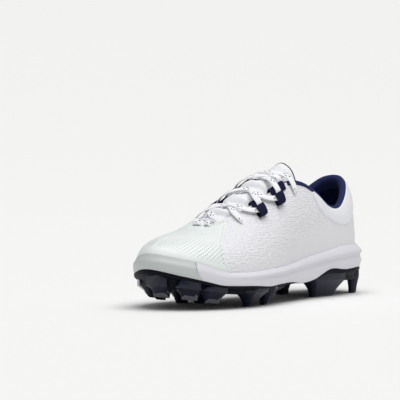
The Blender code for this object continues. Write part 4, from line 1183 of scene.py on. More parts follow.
def make_plate():
    """The plate without its studs."""
    rings = []
    # The wall stands more upright round the toe and heel
    depth = np.interp(np.abs(LOOP), *PLATE_HOLLOW)[:, None]
    for inset, drop in PLATE_WALL:
        ring = plate_lip - plate_outward * inset * depth
        ring[:, 2] += (underside(ring[:, 0]) + PLATE_FLOOR_RISE - ring[:, 2]) * drop
        rings.append(ring)
    return capped("stud_plate", rings, lambda along, distance, edge_height: underside(along), plate_top)


print("plate's lip", round(lengths(plate_lip)[-1]), "mm round")

# %% Table of the studs
# name, along, across, turn, root_long, root_wide, tip_long, tip_wide, tip_height
STUDS = [
    ("heel_lateral_front", 62.0, 21.5, -4.0, 46.0, 17.0, 27.0, 7.5, 0.0),
    ("heel_lateral_back", 14.5, 19.0, 38.0, 15.0, 10.5, 9.5, 6.5, 0.0),
    ("heel_medial_front", 64.0, -20.5, 4.0, 36.0, 16.0, 18.0, 7.5, 0.0),
    ("heel_medial_back", 14.5, -18.5, -38.0, 15.0, 10.5, 9.5, 6.5, 0.0),
    ("waist_fin", 139.0, 29.0, 30.0, 15.0, 8.0, 7.0, 4.0, 4.5),
    ("waist_lateral", 154.0, 32.0, 18.0, 19.0, 12.5, 8.0, 6.0, 0.0),
    ("ball_lateral", 177.0, 33.5, 0.0, 27.0, 17.0, 11.0, 7.5, 0.0),
    ("mid_lateral", 217.0, 27.0, -25.0, 25.0, 15.5, 12.5, 7.5, 4.8),
    ("toe_lateral", 233.0, 16.5, -45.0, 24.0, 14.5, 13.0, 7.5, 8.0),
    ("toe_tip", 241.5, -5.5, 90.0, 22.0, 14.0, 14.0, 8.0, 9.8),
    ("toe_medial", 231.0, -26.0, 45.0, 23.0, 14.5, 12.5, 7.5, 8.0),
    ("mid_medial", 212.0, -32.0, 15.0, 25.0, 15.5, 12.5, 7.5, 4.3),
    ("ball_medial", 184.0, -31.0, -6.0, 26.0, 16.5, 11.0, 7.5, 0.0),
    ("waist_medial", 157.0, -23.5, -20.0, 19.0, 12.5, 8.0, 6.0, 0.0),
    ("centre", 198.0, -2.0, 90.0, 20.0, 13.0, 10.0, 7.0, 2.0),
]
print("studs and fin:", len(STUDS))

# %% Shape of a stud
STUD_FLARE = 2.2
OUTER_FLARE = 1.3
STUD_CHAMFER = 0.28
BUTTRESS_REACH = 14.0
LIP_MARGIN = 0.4
TIP_CUT = 1.4
TOE_TIP_CUT = 3.6
STUD_LEVELS = np.array((0.0, 0.06, 0.13, 0.22, 0.34, 0.5, 0.7, 1.0))
STUD_ROUNDING = 0.45
STUD_ROUNDING_ANGLE = 25
# Shares of the plate's thickness where a stud and a buttress start, and the buttress's distance below the lip
STUD_ROOT = 0.5
BUTTRESS_ROOT = 0.8
BUTTRESS_TOP = 0.8
TIP_INSET = 0.9
# Faces that look down more than this take the pale tone: partly scuffing, partly painted floor light
SCUFF_AND_FLOOR_LIGHT_FACING = -0.4
# Places of the plastics in the plate's list of materials
POLISHED = 1
SCUFFED_AND_FLOOR_LIT = 2


def stud_ring(long, wide):
    """A rectangle with its corners cut off, centred on the origin."""
    cut = STUD_CHAMFER * wide
    x, y = long / 2, wide / 2
    half = [(x, -y + cut), (x, y - cut), (x - cut, y), (-x + cut, y)]
    return np.array(half + [(-a, -b) for a, b in half])


def outerness(offsets, outward):
    """How far towards the plate's edge each point of a ring lies, from 0 at its middle or behind it to 1."""
    out = offsets @ outward
    return np.clip(out / out.max(), 0, 1)


def inside_lip(plan):
    """Plan points, with those outside the plate's lip brought back just inside it."""
    nearest = np.linalg.norm(plate_lip[None, :, :2] - plan[:, None], axis=2).argmin(1)
    outward = plate_outward[nearest, :2]
    beyond = ((plan - plate_lip[nearest, :2]) * outward).sum(1) + LIP_MARGIN
    return plan - outward * np.clip(beyond, 0, None)[:, None]


def buttress(root, centre, lip, outward):
    """The stud's root drawn out to the plate's lip, if that is near, and the ring above it under the lip."""
    outer = outerness(root - centre, outward)
    room = (lip[:2] - centre) @ outward - ((root - centre) @ outward).max()
    if room > BUTTRESS_REACH:
        return root, []
    low = underside(root[:, 0]) + PLATE_THICKNESS * BUTTRESS_ROOT
    high = lip[2] - BUTTRESS_TOP
    drawn = inside_lip(root + outward * room * outer[:, None])
    return drawn, [np.column_stack([drawn, low + (high - low) * outer])]


def make_stud(name, along, across, turn, root_long, root_wide, tip_long, tip_wide, tip_height):
    """One stud, flaring into the plate, its tip cut off at a slant towards the plate's edge."""
    centre = np.array((along, across))
    nearest = np.argmin(np.linalg.norm(plate_lip[:, :2] - centre, axis=1))
    outward = plate_outward[nearest, :2]
    turn = math.radians(turn)
    turned = np.array([[math.cos(turn), math.sin(turn)], [-math.sin(turn), math.cos(turn)]])
    root = stud_ring(root_long, root_wide) @ turned + centre
    tip = stud_ring(tip_long, tip_wide) @ turned + centre
    root_height = underside(root[:, 0]) + PLATE_THICKNESS * STUD_ROOT
    # A stud that reaches the ground is cut level, one under the toe spring slopes with the plate
    slope = underside(tip[:, 0]) - underside(along) if tip_height > 0 else np.zeros(len(tip))
    root, rings = buttress(root, centre, plate_lip[nearest], outward)
    outer = outerness(tip - centre, outward)
    cut = outer * (TOE_TIP_CUT if tip_height > 0 else TIP_CUT)
    flare = STUD_FLARE + (OUTER_FLARE - STUD_FLARE) * outer[:, None]
    for share in STUD_LEVELS:
        plan = tip + (root - tip) * (1 - share) ** flare
        rings.append(np.column_stack([plan, root_height + (tip_height + slope + cut - root_height) * share]))
    rings.append(np.column_stack([tip - outward * cut[:, None] * TIP_INSET, tip_height + slope]))
    block = swept("stud_" + name, np.array(rings))
    stud = rounded_edges(block, STUD_ROUNDING, angle=STUD_ROUNDING_ANGLE)
    # Faces of the cut and the tip that look down take the pale tone, partly scuffing and partly painted floor
    # light; the rest is polished
    scuffed_and_lit_below = tip_height + slope.max() + cut.max()
    finishes = []
    for polygon in stud.data.polygons:
        second_tone = polygon.center.z / MM < scuffed_and_lit_below and polygon.normal.z < SCUFF_AND_FLOOR_LIGHT_FACING
        finishes.append(SCUFFED_AND_FLOOR_LIT if second_tone else POLISHED)
    stud.data.polygons.foreach_set("material_index", finishes)
    return stud


print("rings up a stud:", len(STUD_LEVELS) + 1)

# %% Weld the studs to the plate
WELD_MERGE = 0.01
PLATE_SHARP = 40
plate = make_plate()
studs = [make_stud(*row) for row in STUDS]
for piece in (plate, *studs):
    for material in (shaded_plate_plastic, stud_plastic, floor_lit_worn_plastic):
        piece.data.materials.append(material)
for stud in studs:
    weld = plate.modifiers.new(stud.name, "BOOLEAN")
    weld.operation = "UNION"
    weld.solver = "MANIFOLD"
    weld.object = stud
merged = bmesh.new()
merged.from_mesh(applied(plate).data)
bmesh.ops.remove_doubles(merged, verts=merged.verts, dist=WELD_MERGE * MM)
bmesh.ops.dissolve_degenerate(merged, edges=merged.edges, dist=WELD_MERGE * MM)
merged.to_mesh(plate.data)
merged.free()
outwards(plate, sharp=PLATE_SHARP)
for stud in studs:
    bpy.data.objects.remove(stud)
finished(plate, "navy_plate", None, "outsole")

# %% [markdown]
# ## Insole
# The loose sockliner is a thin foam sheet with a cloth top, cut to the inside of the upper. The rings and
# rungs of the sole make it too, and its UV map is its plan, so that the weave lies flat on it.

# %% Insole
INSOLE_THICKNESS = 4.0
INSOLE_INSET = 0.7
INSOLE_BEVEL = 0.6
base, outward = feather_line(LOOP)
foot_ring = base - outward * (WALL + INSOLE_INSET)
foot_ring[:, 2] = footbed(foot_ring[:, 0]) + GAP
side = foot_ring + (0, 0, INSOLE_THICKNESS - INSOLE_BEVEL)
top = foot_ring - outward * INSOLE_BEVEL + (0, 0, INSOLE_THICKNESS)
insole = capped(
    "insole_sockliner",
    [foot_ring, side, top],
    lambda along, distance, edge_height: footbed(along) + GAP,
    lambda along, distance, edge_height: footbed(along) + GAP + INSOLE_THICKNESS,
)
finished(insole, "navy_webbing", lining_cloth, "insole")

# %% [markdown]
# ## Tongue
# The tongue is a padded strip, tucked under the vamp and inside both sides of the throat, free at its top.
# Its stations give how deep it lies and how high it crowns. A smooth curve through the stations gives many
# rows, and a slab with rounded borders makes the pad. A navy piping closes its top edge, and a plain woven
# label lies on it.

# %% Tongue surface
# share, room, crown, wall, tuck
TONGUE = [
    (0.885, 0.9, 0.0, 2.6, 0.15), (0.865, 1.1, 0.0, 2.6, 0.16), (0.84, 2.0, 0.8, 2.8, 0.18),
    (0.81, 1.9, 2.4, 3.0, 0.20), (0.77, 1.9, 3.6, 3.2, 0.20), (0.72, 2.4, 4.6, 3.5, 0.20),
    (0.67, 2.4, 5.6, 3.8, 0.20), (0.62, 2.4, 6.6, 4.2, 0.20), (0.57, 2.4, 8.0, 4.6, 0.20),
    (0.53, 1.6, 10.4, 5.0, 0.20), (0.495, 1.2, 14.0, 5.5, 0.18), (0.465, 1.0, 18.0, 5.5, 0.16),
]
TONGUE_COLUMNS = 41
TONGUE_ROWS = 90
TONGUE_FULLNESS = 0.3
TONGUE_FREE_END = 1.5
RUN_ON_SHARE = 0.03


def inside_wall(at, up, room):
    """Points inside the upper, the given room off its inner face."""
    points = last(at, up)
    return points - outward_normals(at, up) * (wall_thickness(points) + room)[:, None]


def tongue_station(share, room, crown, tuck):
    """One row across the tongue's outer face."""
    ups = np.array([1 - tuck, 1 - tuck / 2, 1.0])
    lateral = inside_wall(np.full(3, share), ups, np.full(3, room))
    medial = inside_wall(np.full(3, -share), ups, np.full(3, room))
    middle = (lateral[-1] + medial[-1]) / 2 + (0, 0, crown)
    full = (0, 0, crown * TONGUE_FULLNESS)
    shoulders = [(lateral[-1] + middle) / 2 + full, middle, (medial[-1] + middle) / 2 + full]
    ends = [lateral[-1], *shoulders, medial[-1]] if share < THROAT_SHARE else [middle]
    return through([*lateral[:-1], *ends, *medial[-2::-1]], TONGUE_COLUMNS)


def grid_normals(grid):
    """Unit normals of a grid, upwards where its rows run back and its columns from lateral to medial."""
    return unit(np.cross(np.gradient(grid, axis=0), np.gradient(grid, axis=1)))


stations = np.array([row[0] for row in TONGUE])[::-1]
coarse = np.array([tongue_station(share, room, crown, tuck) for share, room, crown, _, tuck in TONGUE])[::-1]
tongue_shares = np.linspace(stations[-1], stations[0], TONGUE_ROWS)
face = np.empty((TONGUE_ROWS, TONGUE_COLUMNS, 3))
for column in range(TONGUE_COLUMNS):
    for axis in range(3):
        face[:, column, axis] = curve(stations, coarse[:, column, axis], tongue_shares)
# The free end runs on a little past the last station
run_on = np.clip(1 - (tongue_shares - tongue_shares[-1]) / RUN_ON_SHARE, 0, 1)[:, None, None]
face += unit(face[-1] - face[-6]) * run_on * TONGUE_FREE_END
smooth_normals = grid_normals(face)
print("tongue face", TONGUE_ROWS, "by", TONGUE_COLUMNS, "points")

# %% Pillows of the tongue
# Foam swells between the lace's crossings, most in the middle
# share of the swelling's middle, half its length
PILLOWS = [(0.806, 0.022), (0.746, 0.033), (0.671, 0.04), (0.598, 0.03)]
PILLOW_RISE = 4.4
# The tongue's sides as seen from the pillows' middle, and how pillows narrow and sink towards them
PILLOW_SIDES = (-1.25, 0.75)
PILLOW_NARROWING = 1.15
PILLOW_NARROWEST = 0.05
PILLOW_FULL = 1.2
PILLOW_FALL = 1.3
across_tongue = np.abs(np.linspace(*PILLOW_SIDES, TONGUE_COLUMNS))
narrowing = np.clip(1 - PILLOW_NARROWING * across_tongue, PILLOW_NARROWEST, 1)
swell = np.zeros((TONGUE_ROWS, TONGUE_COLUMNS))
for middle_share, half in PILLOWS:
    reach = np.clip(np.abs(tongue_shares - middle_share)[:, None] / (half * narrowing), 0, 1)
    swell += np.cos(np.pi / 2 * reach) ** 2
swell *= np.clip(PILLOW_FULL - PILLOW_FALL * across_tongue, 0, 1) * PILLOW_RISE
crown_line, crown_normals = face[:, TONGUE_COLUMNS // 2].copy(), smooth_normals[:, TONGUE_COLUMNS // 2]
face += smooth_normals * swell[..., None]
face_normals = grid_normals(face)
print("tongue", np.round(lengths(face[:, TONGUE_COLUMNS // 2])[-1]), "mm long")


# %% Tongue pad
SIDE_THINNING = 0.55
PAD_ROUNDING = 1.0


def grid_uv(grid):
    """UVs in millimetres along both ways of a grid, measured on its middle row and column."""
    rows, count = grid.shape[:2]
    v, u = np.meshgrid(lengths(grid[:, count // 2]), lengths(grid[rows // 2]), indexing="ij")
    return np.stack([u.ravel(), v.ravel()], -1)


pad_depth = curve(stations, np.array([row[3] for row in TONGUE])[::-1], tongue_shares)[:, None, None]
# The pad thins out to its sewn sides
sides = np.abs(np.linspace(-1, 1, TONGUE_COLUMNS))[None, :, None]
back = face - smooth_normals * (pad_depth * (1 - SIDE_THINNING * sides**6) + swell[..., None])
tongue = rounded_edges(slab("tongue_pad", face, back, grid_uv(face)), PAD_ROUNDING, angle=40)
finished(tongue, "white_textile", tongue_cloth, "tongue")

# %% Piping and label
PIPING_RADIUS = 0.9
PIPING_SINK = 0.7
PIPING_REACH = 0.3
top_edge = face[-1] - face_normals[-1] * PIPING_SINK + unit(face[-1] - face[-4]) * PIPING_REACH
top_edge = through(top_edge[3:-3], 61)
tangent = unit(np.gradient(top_edge, axis=0))
side_way = unit(np.cross(tangent, (0.0, 0.0, 1.0)))
up_way = np.cross(side_way, tangent)
turns = np.linspace(0, 2 * math.pi, 10, endpoint=False)
circle = np.cos(turns)[:, None] * side_way[:, None] + np.sin(turns)[:, None] * up_way[:, None]
piping = swept("tongue_piping", top_edge[:, None] + circle * PIPING_RADIUS)
finished(piping, "navy_webbing", webbing)

LABEL_ROWS = slice(-17, -4)
LABEL_COLUMNS = slice(13, 29)
LABEL_RISE = 0.7
LABEL_SINK = 0.3
LABEL_ROUNDING = 0.3
label_base = face[LABEL_ROWS, LABEL_COLUMNS]
label_up = face_normals[LABEL_ROWS, LABEL_COLUMNS]
label_sheets = (label_base + label_up * LABEL_RISE, label_base - label_up * LABEL_SINK)
label = slab("tongue_label", *label_sheets, grid_uv(label_base))
finished(rounded_edges(label, LABEL_ROUNDING), "white_textile", label_cloth)

# %% [markdown]
# ## Lace loops
# Each loop is a strip of nylon webbing: it comes up inside the throat, turns over its edge, runs down the
# outside, folds back and leaves a tunnel for the lace. The path is drawn in the two measures beside the edge,
# down and off, and the strip is a slab across its width. A short tab of the same webbing sits above them.

# %% Loops
LOOP_THICKNESS = 1.2
LOOP_WIDTH_SHARE = 0.028
LOOP_INNER_LEG = 6.0
LOOP_OUTER_LEG = 13.0
LOOP_FREE_END = 5.0
LOOP_TUNNEL = 2.2
LOOP_GAP = 0.55
LOOP_SHARES = {"lower": 0.667, "upper": 0.592}
TAB_SHARE = 0.561
TAB_WIDTH_SHARE = 0.02
TAB_LEG = 5.5
TAB_INNER = -4.0
TAB_TUCK = 0.3
EDGE_TURN = 0.6
WEBBING_ROUNDING = 0.28


def half_turn(centre, start, end):
    """Points of a half circle round (centre, middle of start and end), off the edge from start to end."""
    radius = (end - start) / 2
    turns = np.radians(np.linspace(-90, 90, 7))
    return [(centre + abs(radius) * math.cos(a), (start + end) / 2 + radius * math.sin(a)) for a in turns]


def webbing_strip(name, share, side, width_share, path):
    """A strip of webbing across the throat's edge, along a path of down and off."""
    path = through(path, 80)
    tangent = unit(np.gradient(path, axis=0))
    sideways = np.stack([-tangent[:, 1], tangent[:, 0]], -1) * LOOP_THICKNESS / 2
    sheets = []
    for line in (path - sideways, path + sideways):
        across = [beside_edge(side * (share + width_share * w), *line.T) for w in np.linspace(-0.5, 0.5, 9)]
        sheets.append(np.array(across))
    return rounded_edges(slab(name, *sheets, grid_uv(sheets[0])), WEBBING_ROUNDING)


outer_leg = LOOP_GAP + LOOP_THICKNESS / 2
inner_leg = -(WALL + LOOP_GAP + LOOP_THICKNESS / 2)
layer = outer_leg + LOOP_THICKNESS + LOOP_TUNNEL
loop_path = [(LOOP_INNER_LEG, inner_leg), *[(-d, o) for d, o in half_turn(EDGE_TURN, inner_leg, outer_leg)]]
loop_path += [(LOOP_FREE_END, outer_leg), *half_turn(LOOP_OUTER_LEG, outer_leg, layer)]
loop_path += [(LOOP_FREE_END, layer)]
tab_path = [(LOOP_INNER_LEG, TAB_INNER), *[(-d, o) for d, o in half_turn(EDGE_TURN, TAB_INNER, outer_leg)]]
tab_path += [(TAB_LEG / 2, outer_leg), (TAB_LEG, outer_leg - TAB_TUCK)]
for side, word in ((1, "lateral"), (-1, "medial")):
    for place_name, share in LOOP_SHARES.items():
        strip = webbing_strip(f"webbing_{place_name}_{word}", share, side, LOOP_WIDTH_SHARE, loop_path)
        finished(strip, "navy_webbing", webbing, f"loop_{place_name}_{word}")
    tab = webbing_strip(f"webbing_tab_{word}", TAB_SHARE, side, TAB_WIDTH_SHARE, tab_path)
    finished(tab, "navy_webbing", webbing)

# %% [markdown]
# ## Lace
# One flat lace bars the throat's foot, crosses through eyelets and loops, and bars its top. Each strip is a
# rounded flat section swept along a smooth path over the tongue. Its ends run on into their holes and tunnels
# or under the throat's edge, so that none of them shows cut. At an eyelet the braid gathers to a point.

# %% Lace paths
LACE_WIDTH = 5.2
LACE_THICKNESS = 1.4
LACE_CLEAR = 1.25
LACE_ROWS = 61
# name, lower, lower_end, upper, upper_end, middle, lift, strips
LACES = [
    ("lace_base_bar", 0.832, "short", 0.832, "short", 0.832, 2.2, 1),
    ("lace_cross_1", 0.796, "under", 0.764, "under", 0.78, 0.0, 1),
    ("lace_cross_2", 0.744, "hole", 0.679, "side", 0.7115, 0.0, 2),
    ("lace_cross_3", 0.662, "loop", 0.604, "side", 0.6295, 0.0, 2),
    ("lace_cross_4", 0.587, "loop", 0.552, "under", 0.566, 0.0, 2),
    ("lace_top_bar", 0.520, "hole", 0.520, "hole", 0.542, 1.0, 1),
]
# Points of share ahead, down and off beside the edge, from the hidden end to the throat
LACE_ENDS = {
    "short": [(0, 5.6, -0.6), (0, 4.7, 1.5), (0, 2.5, 2.7), (0, -1.0, 2.5)],
    "hole": [(0, 12.7, -0.9), (0, 11.5, 1.0), (0, 8.5, 2.0), (0, -1.0, 1.8)],
    "side": [(-0.012, 9.0, 2.85), (0.0, 8.0, 2.85), (0.014, 5.6, 2.6), (0.026, 2.6, 2.3), (0.036, -1.0, 2.2)],
    "loop": [(0, 11.5, 2.85), (0, 8.5, 2.85), (0, 5.0, 3.1), (0, 3.2, 3.6), (0, -1.5, 3.7)],
    "under": [(0, 5.0, -3.1), (0, 1.0, -3.0), (0, -3.0, -2.2), (0, -6.0, -1.4)],
}
LACE_END_WIDTHS = {"short": 0.55, "hole": 0.2, "side": 1.0, "loop": 1.0, "under": 1.0}
LACE_TAPER_RUN = 9.0
LACE_SIDE_UP = 0.95
# Powers that square the section's width and round its thickness
LACE_SQUARING = 0.45
LACE_ROUNDING = 0.8


def lace_end(share, kind):
    ahead, down, off = np.array(LACE_ENDS[kind]).T
    return beside_edge(share + np.sign(share) * ahead, down, off)


def lace_sections(lateral, lateral_end, medial, medial_end, middle_share, lift):
    """The sections of a strip from the throat's lateral edge to its medial edge, over the tongue."""
    row = np.argmin(np.abs(tongue_shares - middle_share))
    crown_normal = crown_normals[row]
    middle = crown_line[row] + crown_normal * (LACE_CLEAR + lift)
    path = [*lace_end(lateral, lateral_end), middle, *lace_end(-medial, medial_end)[::-1]]
    path = through(path, LACE_ROWS)
    run = lengths(path)
    beside = outward_normals(np.array([lateral, -medial]), np.full(2, LACE_SIDE_UP))
    marks = [0, run[-1] / 2, run[-1]]
    sides = [beside[0], crown_normal, beside[1]]
    normals = np.stack([np.interp(run, marks, [side[k] for side in sides]) for k in range(3)], -1)
    tangents = np.gradient(path, axis=0)
    across = unit(np.cross(normals, tangents))
    off = unit(np.cross(tangents, across))
    first = 1 - (1 - LACE_END_WIDTHS[lateral_end]) * falloff(run, LACE_TAPER_RUN)
    second = 1 - (1 - LACE_END_WIDTHS[medial_end]) * falloff(run[-1] - run, LACE_TAPER_RUN)
    turns = np.linspace(0, 2 * math.pi, 16, endpoint=False)
    flat = np.sign(np.cos(turns)) * np.abs(np.cos(turns)) ** LACE_SQUARING * LACE_WIDTH / 2
    thick = np.sign(np.sin(turns)) * np.abs(np.sin(turns)) ** LACE_ROUNDING * LACE_THICKNESS / 2
    width = (first * second)[:, None, None]
    return path[:, None] + across[:, None] * flat[:, None] * width + off[:, None] * thick[:, None]


print("lace", LACE_WIDTH, "by", LACE_THICKNESS, "mm in", len(LACES), "rows")

# %% Lace strips
for name, lower, lower_end, upper, upper_end, middle_share, lift, strips in LACES:
    under = swept(name + "_under", lace_sections(lower, lower_end, upper, upper_end, middle_share, lift))
    finished(under, "white_textile", braid_cloth, name)
    if strips == 2:
        above_under = lift + LACE_THICKNESS
        over = lace_sections(upper, upper_end, lower, lower_end, middle_share, above_under)
        over = swept(name + "_over", over)
        finished(over, "white_textile", braid_cloth, name)

# %% [markdown]
# ## Dots, vents and eyelets
# The film is embossed with rows of small oval dots that shrink towards the toe's tip and the borders of their
# band. It is pierced by a few vent holes, and the lace's holes are punched. All are the same shape at other
# sizes, so Geometry Nodes set one lipped dot on each of a cloud of points that carry their normal, direction
# and size.

# %% Points that carry attributes
def marked_points(name, points, edges=(), **attributes):
    """A mesh of loose points, or of lines, with vector or number attributes."""
    mesh = bpy.data.meshes.new(name)
    mesh.from_pydata(((points - HEEL_TO_ORIGIN) * MM).tolist(), list(edges), [])
    for key, values in attributes.items():
        values = np.asarray(values, np.float32)
        vector = values.ndim == 2
        layer = mesh.attributes.new(key, "FLOAT_VECTOR" if vector else "FLOAT", "POINT")
        layer.data.foreach_set("vector" if vector else "value", values.ravel())
    obj = bpy.data.objects.new(name, mesh)
    bpy.context.scene.collection.objects.link(obj)
    return obj


def new_tree(name, **inputs):
    """A Geometry Nodes tree with a geometry input, inputs of the named kinds, and a geometry output."""
    tree = bpy.data.node_groups.new(name, "GeometryNodeTree")
    tree.interface.new_socket("Geometry", in_out="INPUT", socket_type="NodeSocketGeometry")
    tree.interface.new_socket("Geometry", in_out="OUTPUT", socket_type="NodeSocketGeometry")
    for key, kind in inputs.items():
        tree.interface.new_socket(key, in_out="INPUT", socket_type="NodeSocket" + kind)
    return tree, add(tree, "NodeGroupInput")


def grown(obj, tree, **values):
    """The plain mesh that the tree makes of the object, with the tree's inputs set by their identifiers."""
    nodes = obj.modifiers.new("grown", "NODES")
    nodes.node_group = tree
    for socket in tree.interface.items_tree:
        if socket.in_out == "INPUT" and socket.name in values:
            nodes[socket.identifier] = values[socket.name]
    applied(obj)
    for key in ("normal", "along", "size", "floor"):
        if key in obj.data.attributes:
            obj.data.attributes.remove(obj.data.attributes[key])
    return obj


print("node trees so far:", len(bpy.data.node_groups))

# %% Dot tree
# Sides of a dot, then the radius of its lip and the depth of its floor, to a dot of radius 1
DOT_SIDES = 10
LIP_RADIUS = 0.24
PLUG_DEPTH = 0.16


def dot_tree():
    """Sets an oval dot with a low lip and a shaded floor on each point."""
    tree, given = new_tree("lipped_dots", Lip="Float", LipMaterial="Material", FloorMaterial="Material")
    path = add(tree, "GeometryNodeCurvePrimitiveCircle", {"Resolution": DOT_SIDES, "Radius": 1.0})
    profile = {"Resolution": 4, "Radius": given.outputs["Lip"]}
    lip_ring = add(tree, "GeometryNodeCurvePrimitiveCircle", profile)
    outline = {"Curve": path.outputs[0], "Profile Curve": lip_ring.outputs[0]}
    lip = add(tree, "GeometryNodeCurveToMesh", outline)
    plug = {"Vertices": DOT_SIDES, "Radius": 1.0, "Depth": PLUG_DEPTH}
    disc = add(tree, "GeometryNodeMeshCylinder", plug, fill_type="NGON")
    mark = {"Geometry": disc.outputs[0], "Name": "floor", "Value": True}
    marked = add(tree, "GeometryNodeStoreNamedAttribute", mark, data_type="BOOLEAN", domain="FACE")
    dot = add(tree, "GeometryNodeJoinGeometry", {0: lip.outputs[0]})
    tree.links.new(marked.outputs[0], dot.inputs[0])
    along = add(tree, "GeometryNodeInputNamedAttribute", {"Name": "along"}, data_type="FLOAT_VECTOR")
    normal = add(tree, "GeometryNodeInputNamedAttribute", {"Name": "normal"}, data_type="FLOAT_VECTOR")
    size = add(tree, "GeometryNodeInputNamedAttribute", {"Name": "size"}, data_type="FLOAT_VECTOR")
    turn = add(tree, "FunctionNodeAlignRotationToVector", {"Vector": along.outputs[0]}, axis="X")
    upright = {"Rotation": turn.outputs[0], "Vector": normal.outputs[0]}
    facing = add(tree, "FunctionNodeAlignRotationToVector", upright, axis="Z", pivot_axis="X")
    spots = {"Points": given.outputs["Geometry"], "Instance": dot.outputs[0]}
    spots |= {"Rotation": facing.outputs[0], "Scale": size.outputs[0]}
    placed = add(tree, "GeometryNodeInstanceOnPoints", spots)
    real = add(tree, "GeometryNodeRealizeInstances", {"Geometry": placed.outputs[0]})
    lips = {"Geometry": real.outputs[0], "Material": given.outputs["LipMaterial"]}
    coated = add(tree, "GeometryNodeSetMaterial", lips)
    is_floor = add(tree, "GeometryNodeInputNamedAttribute", {"Name": "floor"}, data_type="BOOLEAN")
    floors = {"Geometry": coated.outputs[0], "Selection": is_floor.outputs[0]}
    floors |= {"Material": given.outputs["FloorMaterial"]}
    done = add(tree, "GeometryNodeSetMaterial", floors)
    add(tree, "NodeGroupOutput", {"Geometry": done.outputs[0]})
    return tree


lipped_dots = dot_tree()
print(lipped_dots.name, len(lipped_dots.nodes), "nodes")


# %% Set the dots
def dots(name, at, up, lift, long, wide, lip_material):
    """Dots over the last at these places, with their half length and half width in millimetres."""
    places = last(at, up) + outward_normals(at, up) * lift
    along = unit(last(wrapped(at + NORMAL_STEP), up) - last(wrapped(at - NORMAL_STEP), up))
    size = np.stack([long, wide, (long + wide) / 2], -1) * MM
    cloud = marked_points(name, places, normal=outward_normals(at, up), along=along, size=size)
    grown(cloud, lipped_dots, Lip=LIP_RADIUS, LipMaterial=lip_material, FloorMaterial=dot_floor)
    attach(cloud, "root")
    print(name, len(at), "dots,", len(cloud.data.polygons), "faces")
    return cloud


DOT_STEP = 3.3
DOT_ROW = 2.5
DOT_SHARES = (0.846, 0.992)
DOT_ROWS_EACH_WAY = 14
DOT_MARGIN = 0.03
DOT_SMALLEST = 0.4
DOT_TIP_SIZE = 0.72
DOT_HALF_LENGTH = 0.72
DOT_HALF_WIDTH = 0.45
# Length of the wall under the dots in millimetres
DOT_WALL = 78.0
# share, middle up, half band
DOT_ROWS = [
    (0.846, 0.32, 0.16), (0.89, 0.37, 0.19), (0.93, 0.46, 0.18), (0.965, 0.54, 0.16), (1.0, 0.58, 0.14),
]
DOT_BAND = columns(DOT_ROWS, "share up half")
grid_at, grid_up = [], []
for row in range(-DOT_ROWS_EACH_WAY, DOT_ROWS_EACH_WAY + 1):
    run = np.arange(*arc_length(DOT_SHARES), DOT_STEP) + DOT_STEP / 2 * (row % 2)
    share = np.interp(run, FINE_RUN, FINE_SHARES)
    grid_at.append(share)
    grid_up.append(np.interp(share, DOT_BAND["share"], DOT_BAND["up"]) + row * DOT_ROW / DOT_WALL)
dot_at, dot_up = np.concatenate(grid_at), np.concatenate(grid_up)
off_middle = np.abs(dot_up - np.interp(dot_at, DOT_BAND["share"], DOT_BAND["up"]))
inside = 1 - (off_middle / np.interp(dot_at, DOT_BAND["share"], DOT_BAND["half"])) ** 2
kept = (inside > DOT_MARGIN) & (dot_up > vamp_foot(dot_at) + DOT_MARGIN)
dot_at, dot_up, inside = dot_at[kept], dot_up[kept], inside[kept]
grow = DOT_SMALLEST + (1 - DOT_SMALLEST) * np.sqrt(inside)
grow *= np.interp(dot_at, DOT_SHARES, (1.0, DOT_TIP_SIZE))
for side, word, bigger in ((1, "lateral", 1.0), (-1, "medial", 1.2)):
    size = grow * bigger
    halves = (size * DOT_HALF_LENGTH, size * DOT_HALF_WIDTH)
    field = dots(f"film_dots_{word}", dot_at * side, dot_up, FILM_FACE, *halves, film)

# %% Vents and eyelets
# share, up
VENTS = np.array([(-0.910, 0.905), (0.892, 0.855), (0.883, 0.714)])
# Half lengths and half widths
VENT_HALVES = (0.8, 0.6)
EYELET_HALVES = (1.5, 1.2)
EYELET_SHARES = (0.744, 0.520)
EYELET_DOWN = 11.9
EYELET_LIFT = 0.05
vent_halves = np.repeat([VENT_HALVES], len(VENTS), axis=0).T
vents = dots("vent_holes", *VENTS.T, FILM_FACE, *vent_halves, film)
hole_at = np.array([side * share for side in (1, -1) for share in EYELET_SHARES])
hole_up = up_below_edge(hole_at, EYELET_DOWN)
hole_halves = np.repeat([EYELET_HALVES], len(hole_at), axis=0).T
holes = dots("punched_eyelets", hole_at, hole_up, EYELET_LIFT, *hole_halves, leather_smooth)

# %% Embossed arc in front of the throat
ARC_SHARE = 0.882
ARC_UP = 0.93
ARC_RADIUS = 0.5
ARC_SINK = 0.15
ARC_POINTS = 16
# Angle at which the fading ends
ARC_END = 0.15
side_up = np.linspace(ARC_UP, 1, ARC_POINTS)
arc_at = np.concatenate([np.full(ARC_POINTS, ARC_SHARE), np.full(ARC_POINTS - 1, -ARC_SHARE)])
arc_up = np.concatenate([side_up, side_up[-2::-1]])
arc_normals = outward_normals(arc_at, arc_up)
arc_line = last(arc_at, arc_up) + arc_normals * (FILM_FACE - ARC_SINK)
arc_side = unit(np.cross(np.gradient(arc_line, axis=0), arc_normals))
turns = np.linspace(0, 2 * math.pi, 8, endpoint=False)
arc_ring = np.cos(turns)[:, None] * arc_side[:, None] + np.sin(turns)[:, None] * arc_normals[:, None]
# The ridge dies out towards both ends
fade = np.sin(np.linspace(ARC_END, math.pi - ARC_END, len(arc_at)))[:, None, None] ** 0.5
finished(swept("embossed_arc", arc_line[:, None] + arc_ring * ARC_RADIUS * fade), "pale_film", film)

# %% [markdown]
# ## Stitches
# Rows of lockstitch hold the film's rear edge and the throat's edge. A row is a polyline on the surface that
# carries its normal. Geometry Nodes space points along it and set one thread bead, turned along the seam, on
# each of them: the look of a seam comes from this repeat and not from a line.

# %% Stitch tree
# Spacing, half length and radius of a stitch in millimetres
STITCH_PITCH = 2.4
STITCH_HALF = 0.85
STITCH_RADIUS = 0.3


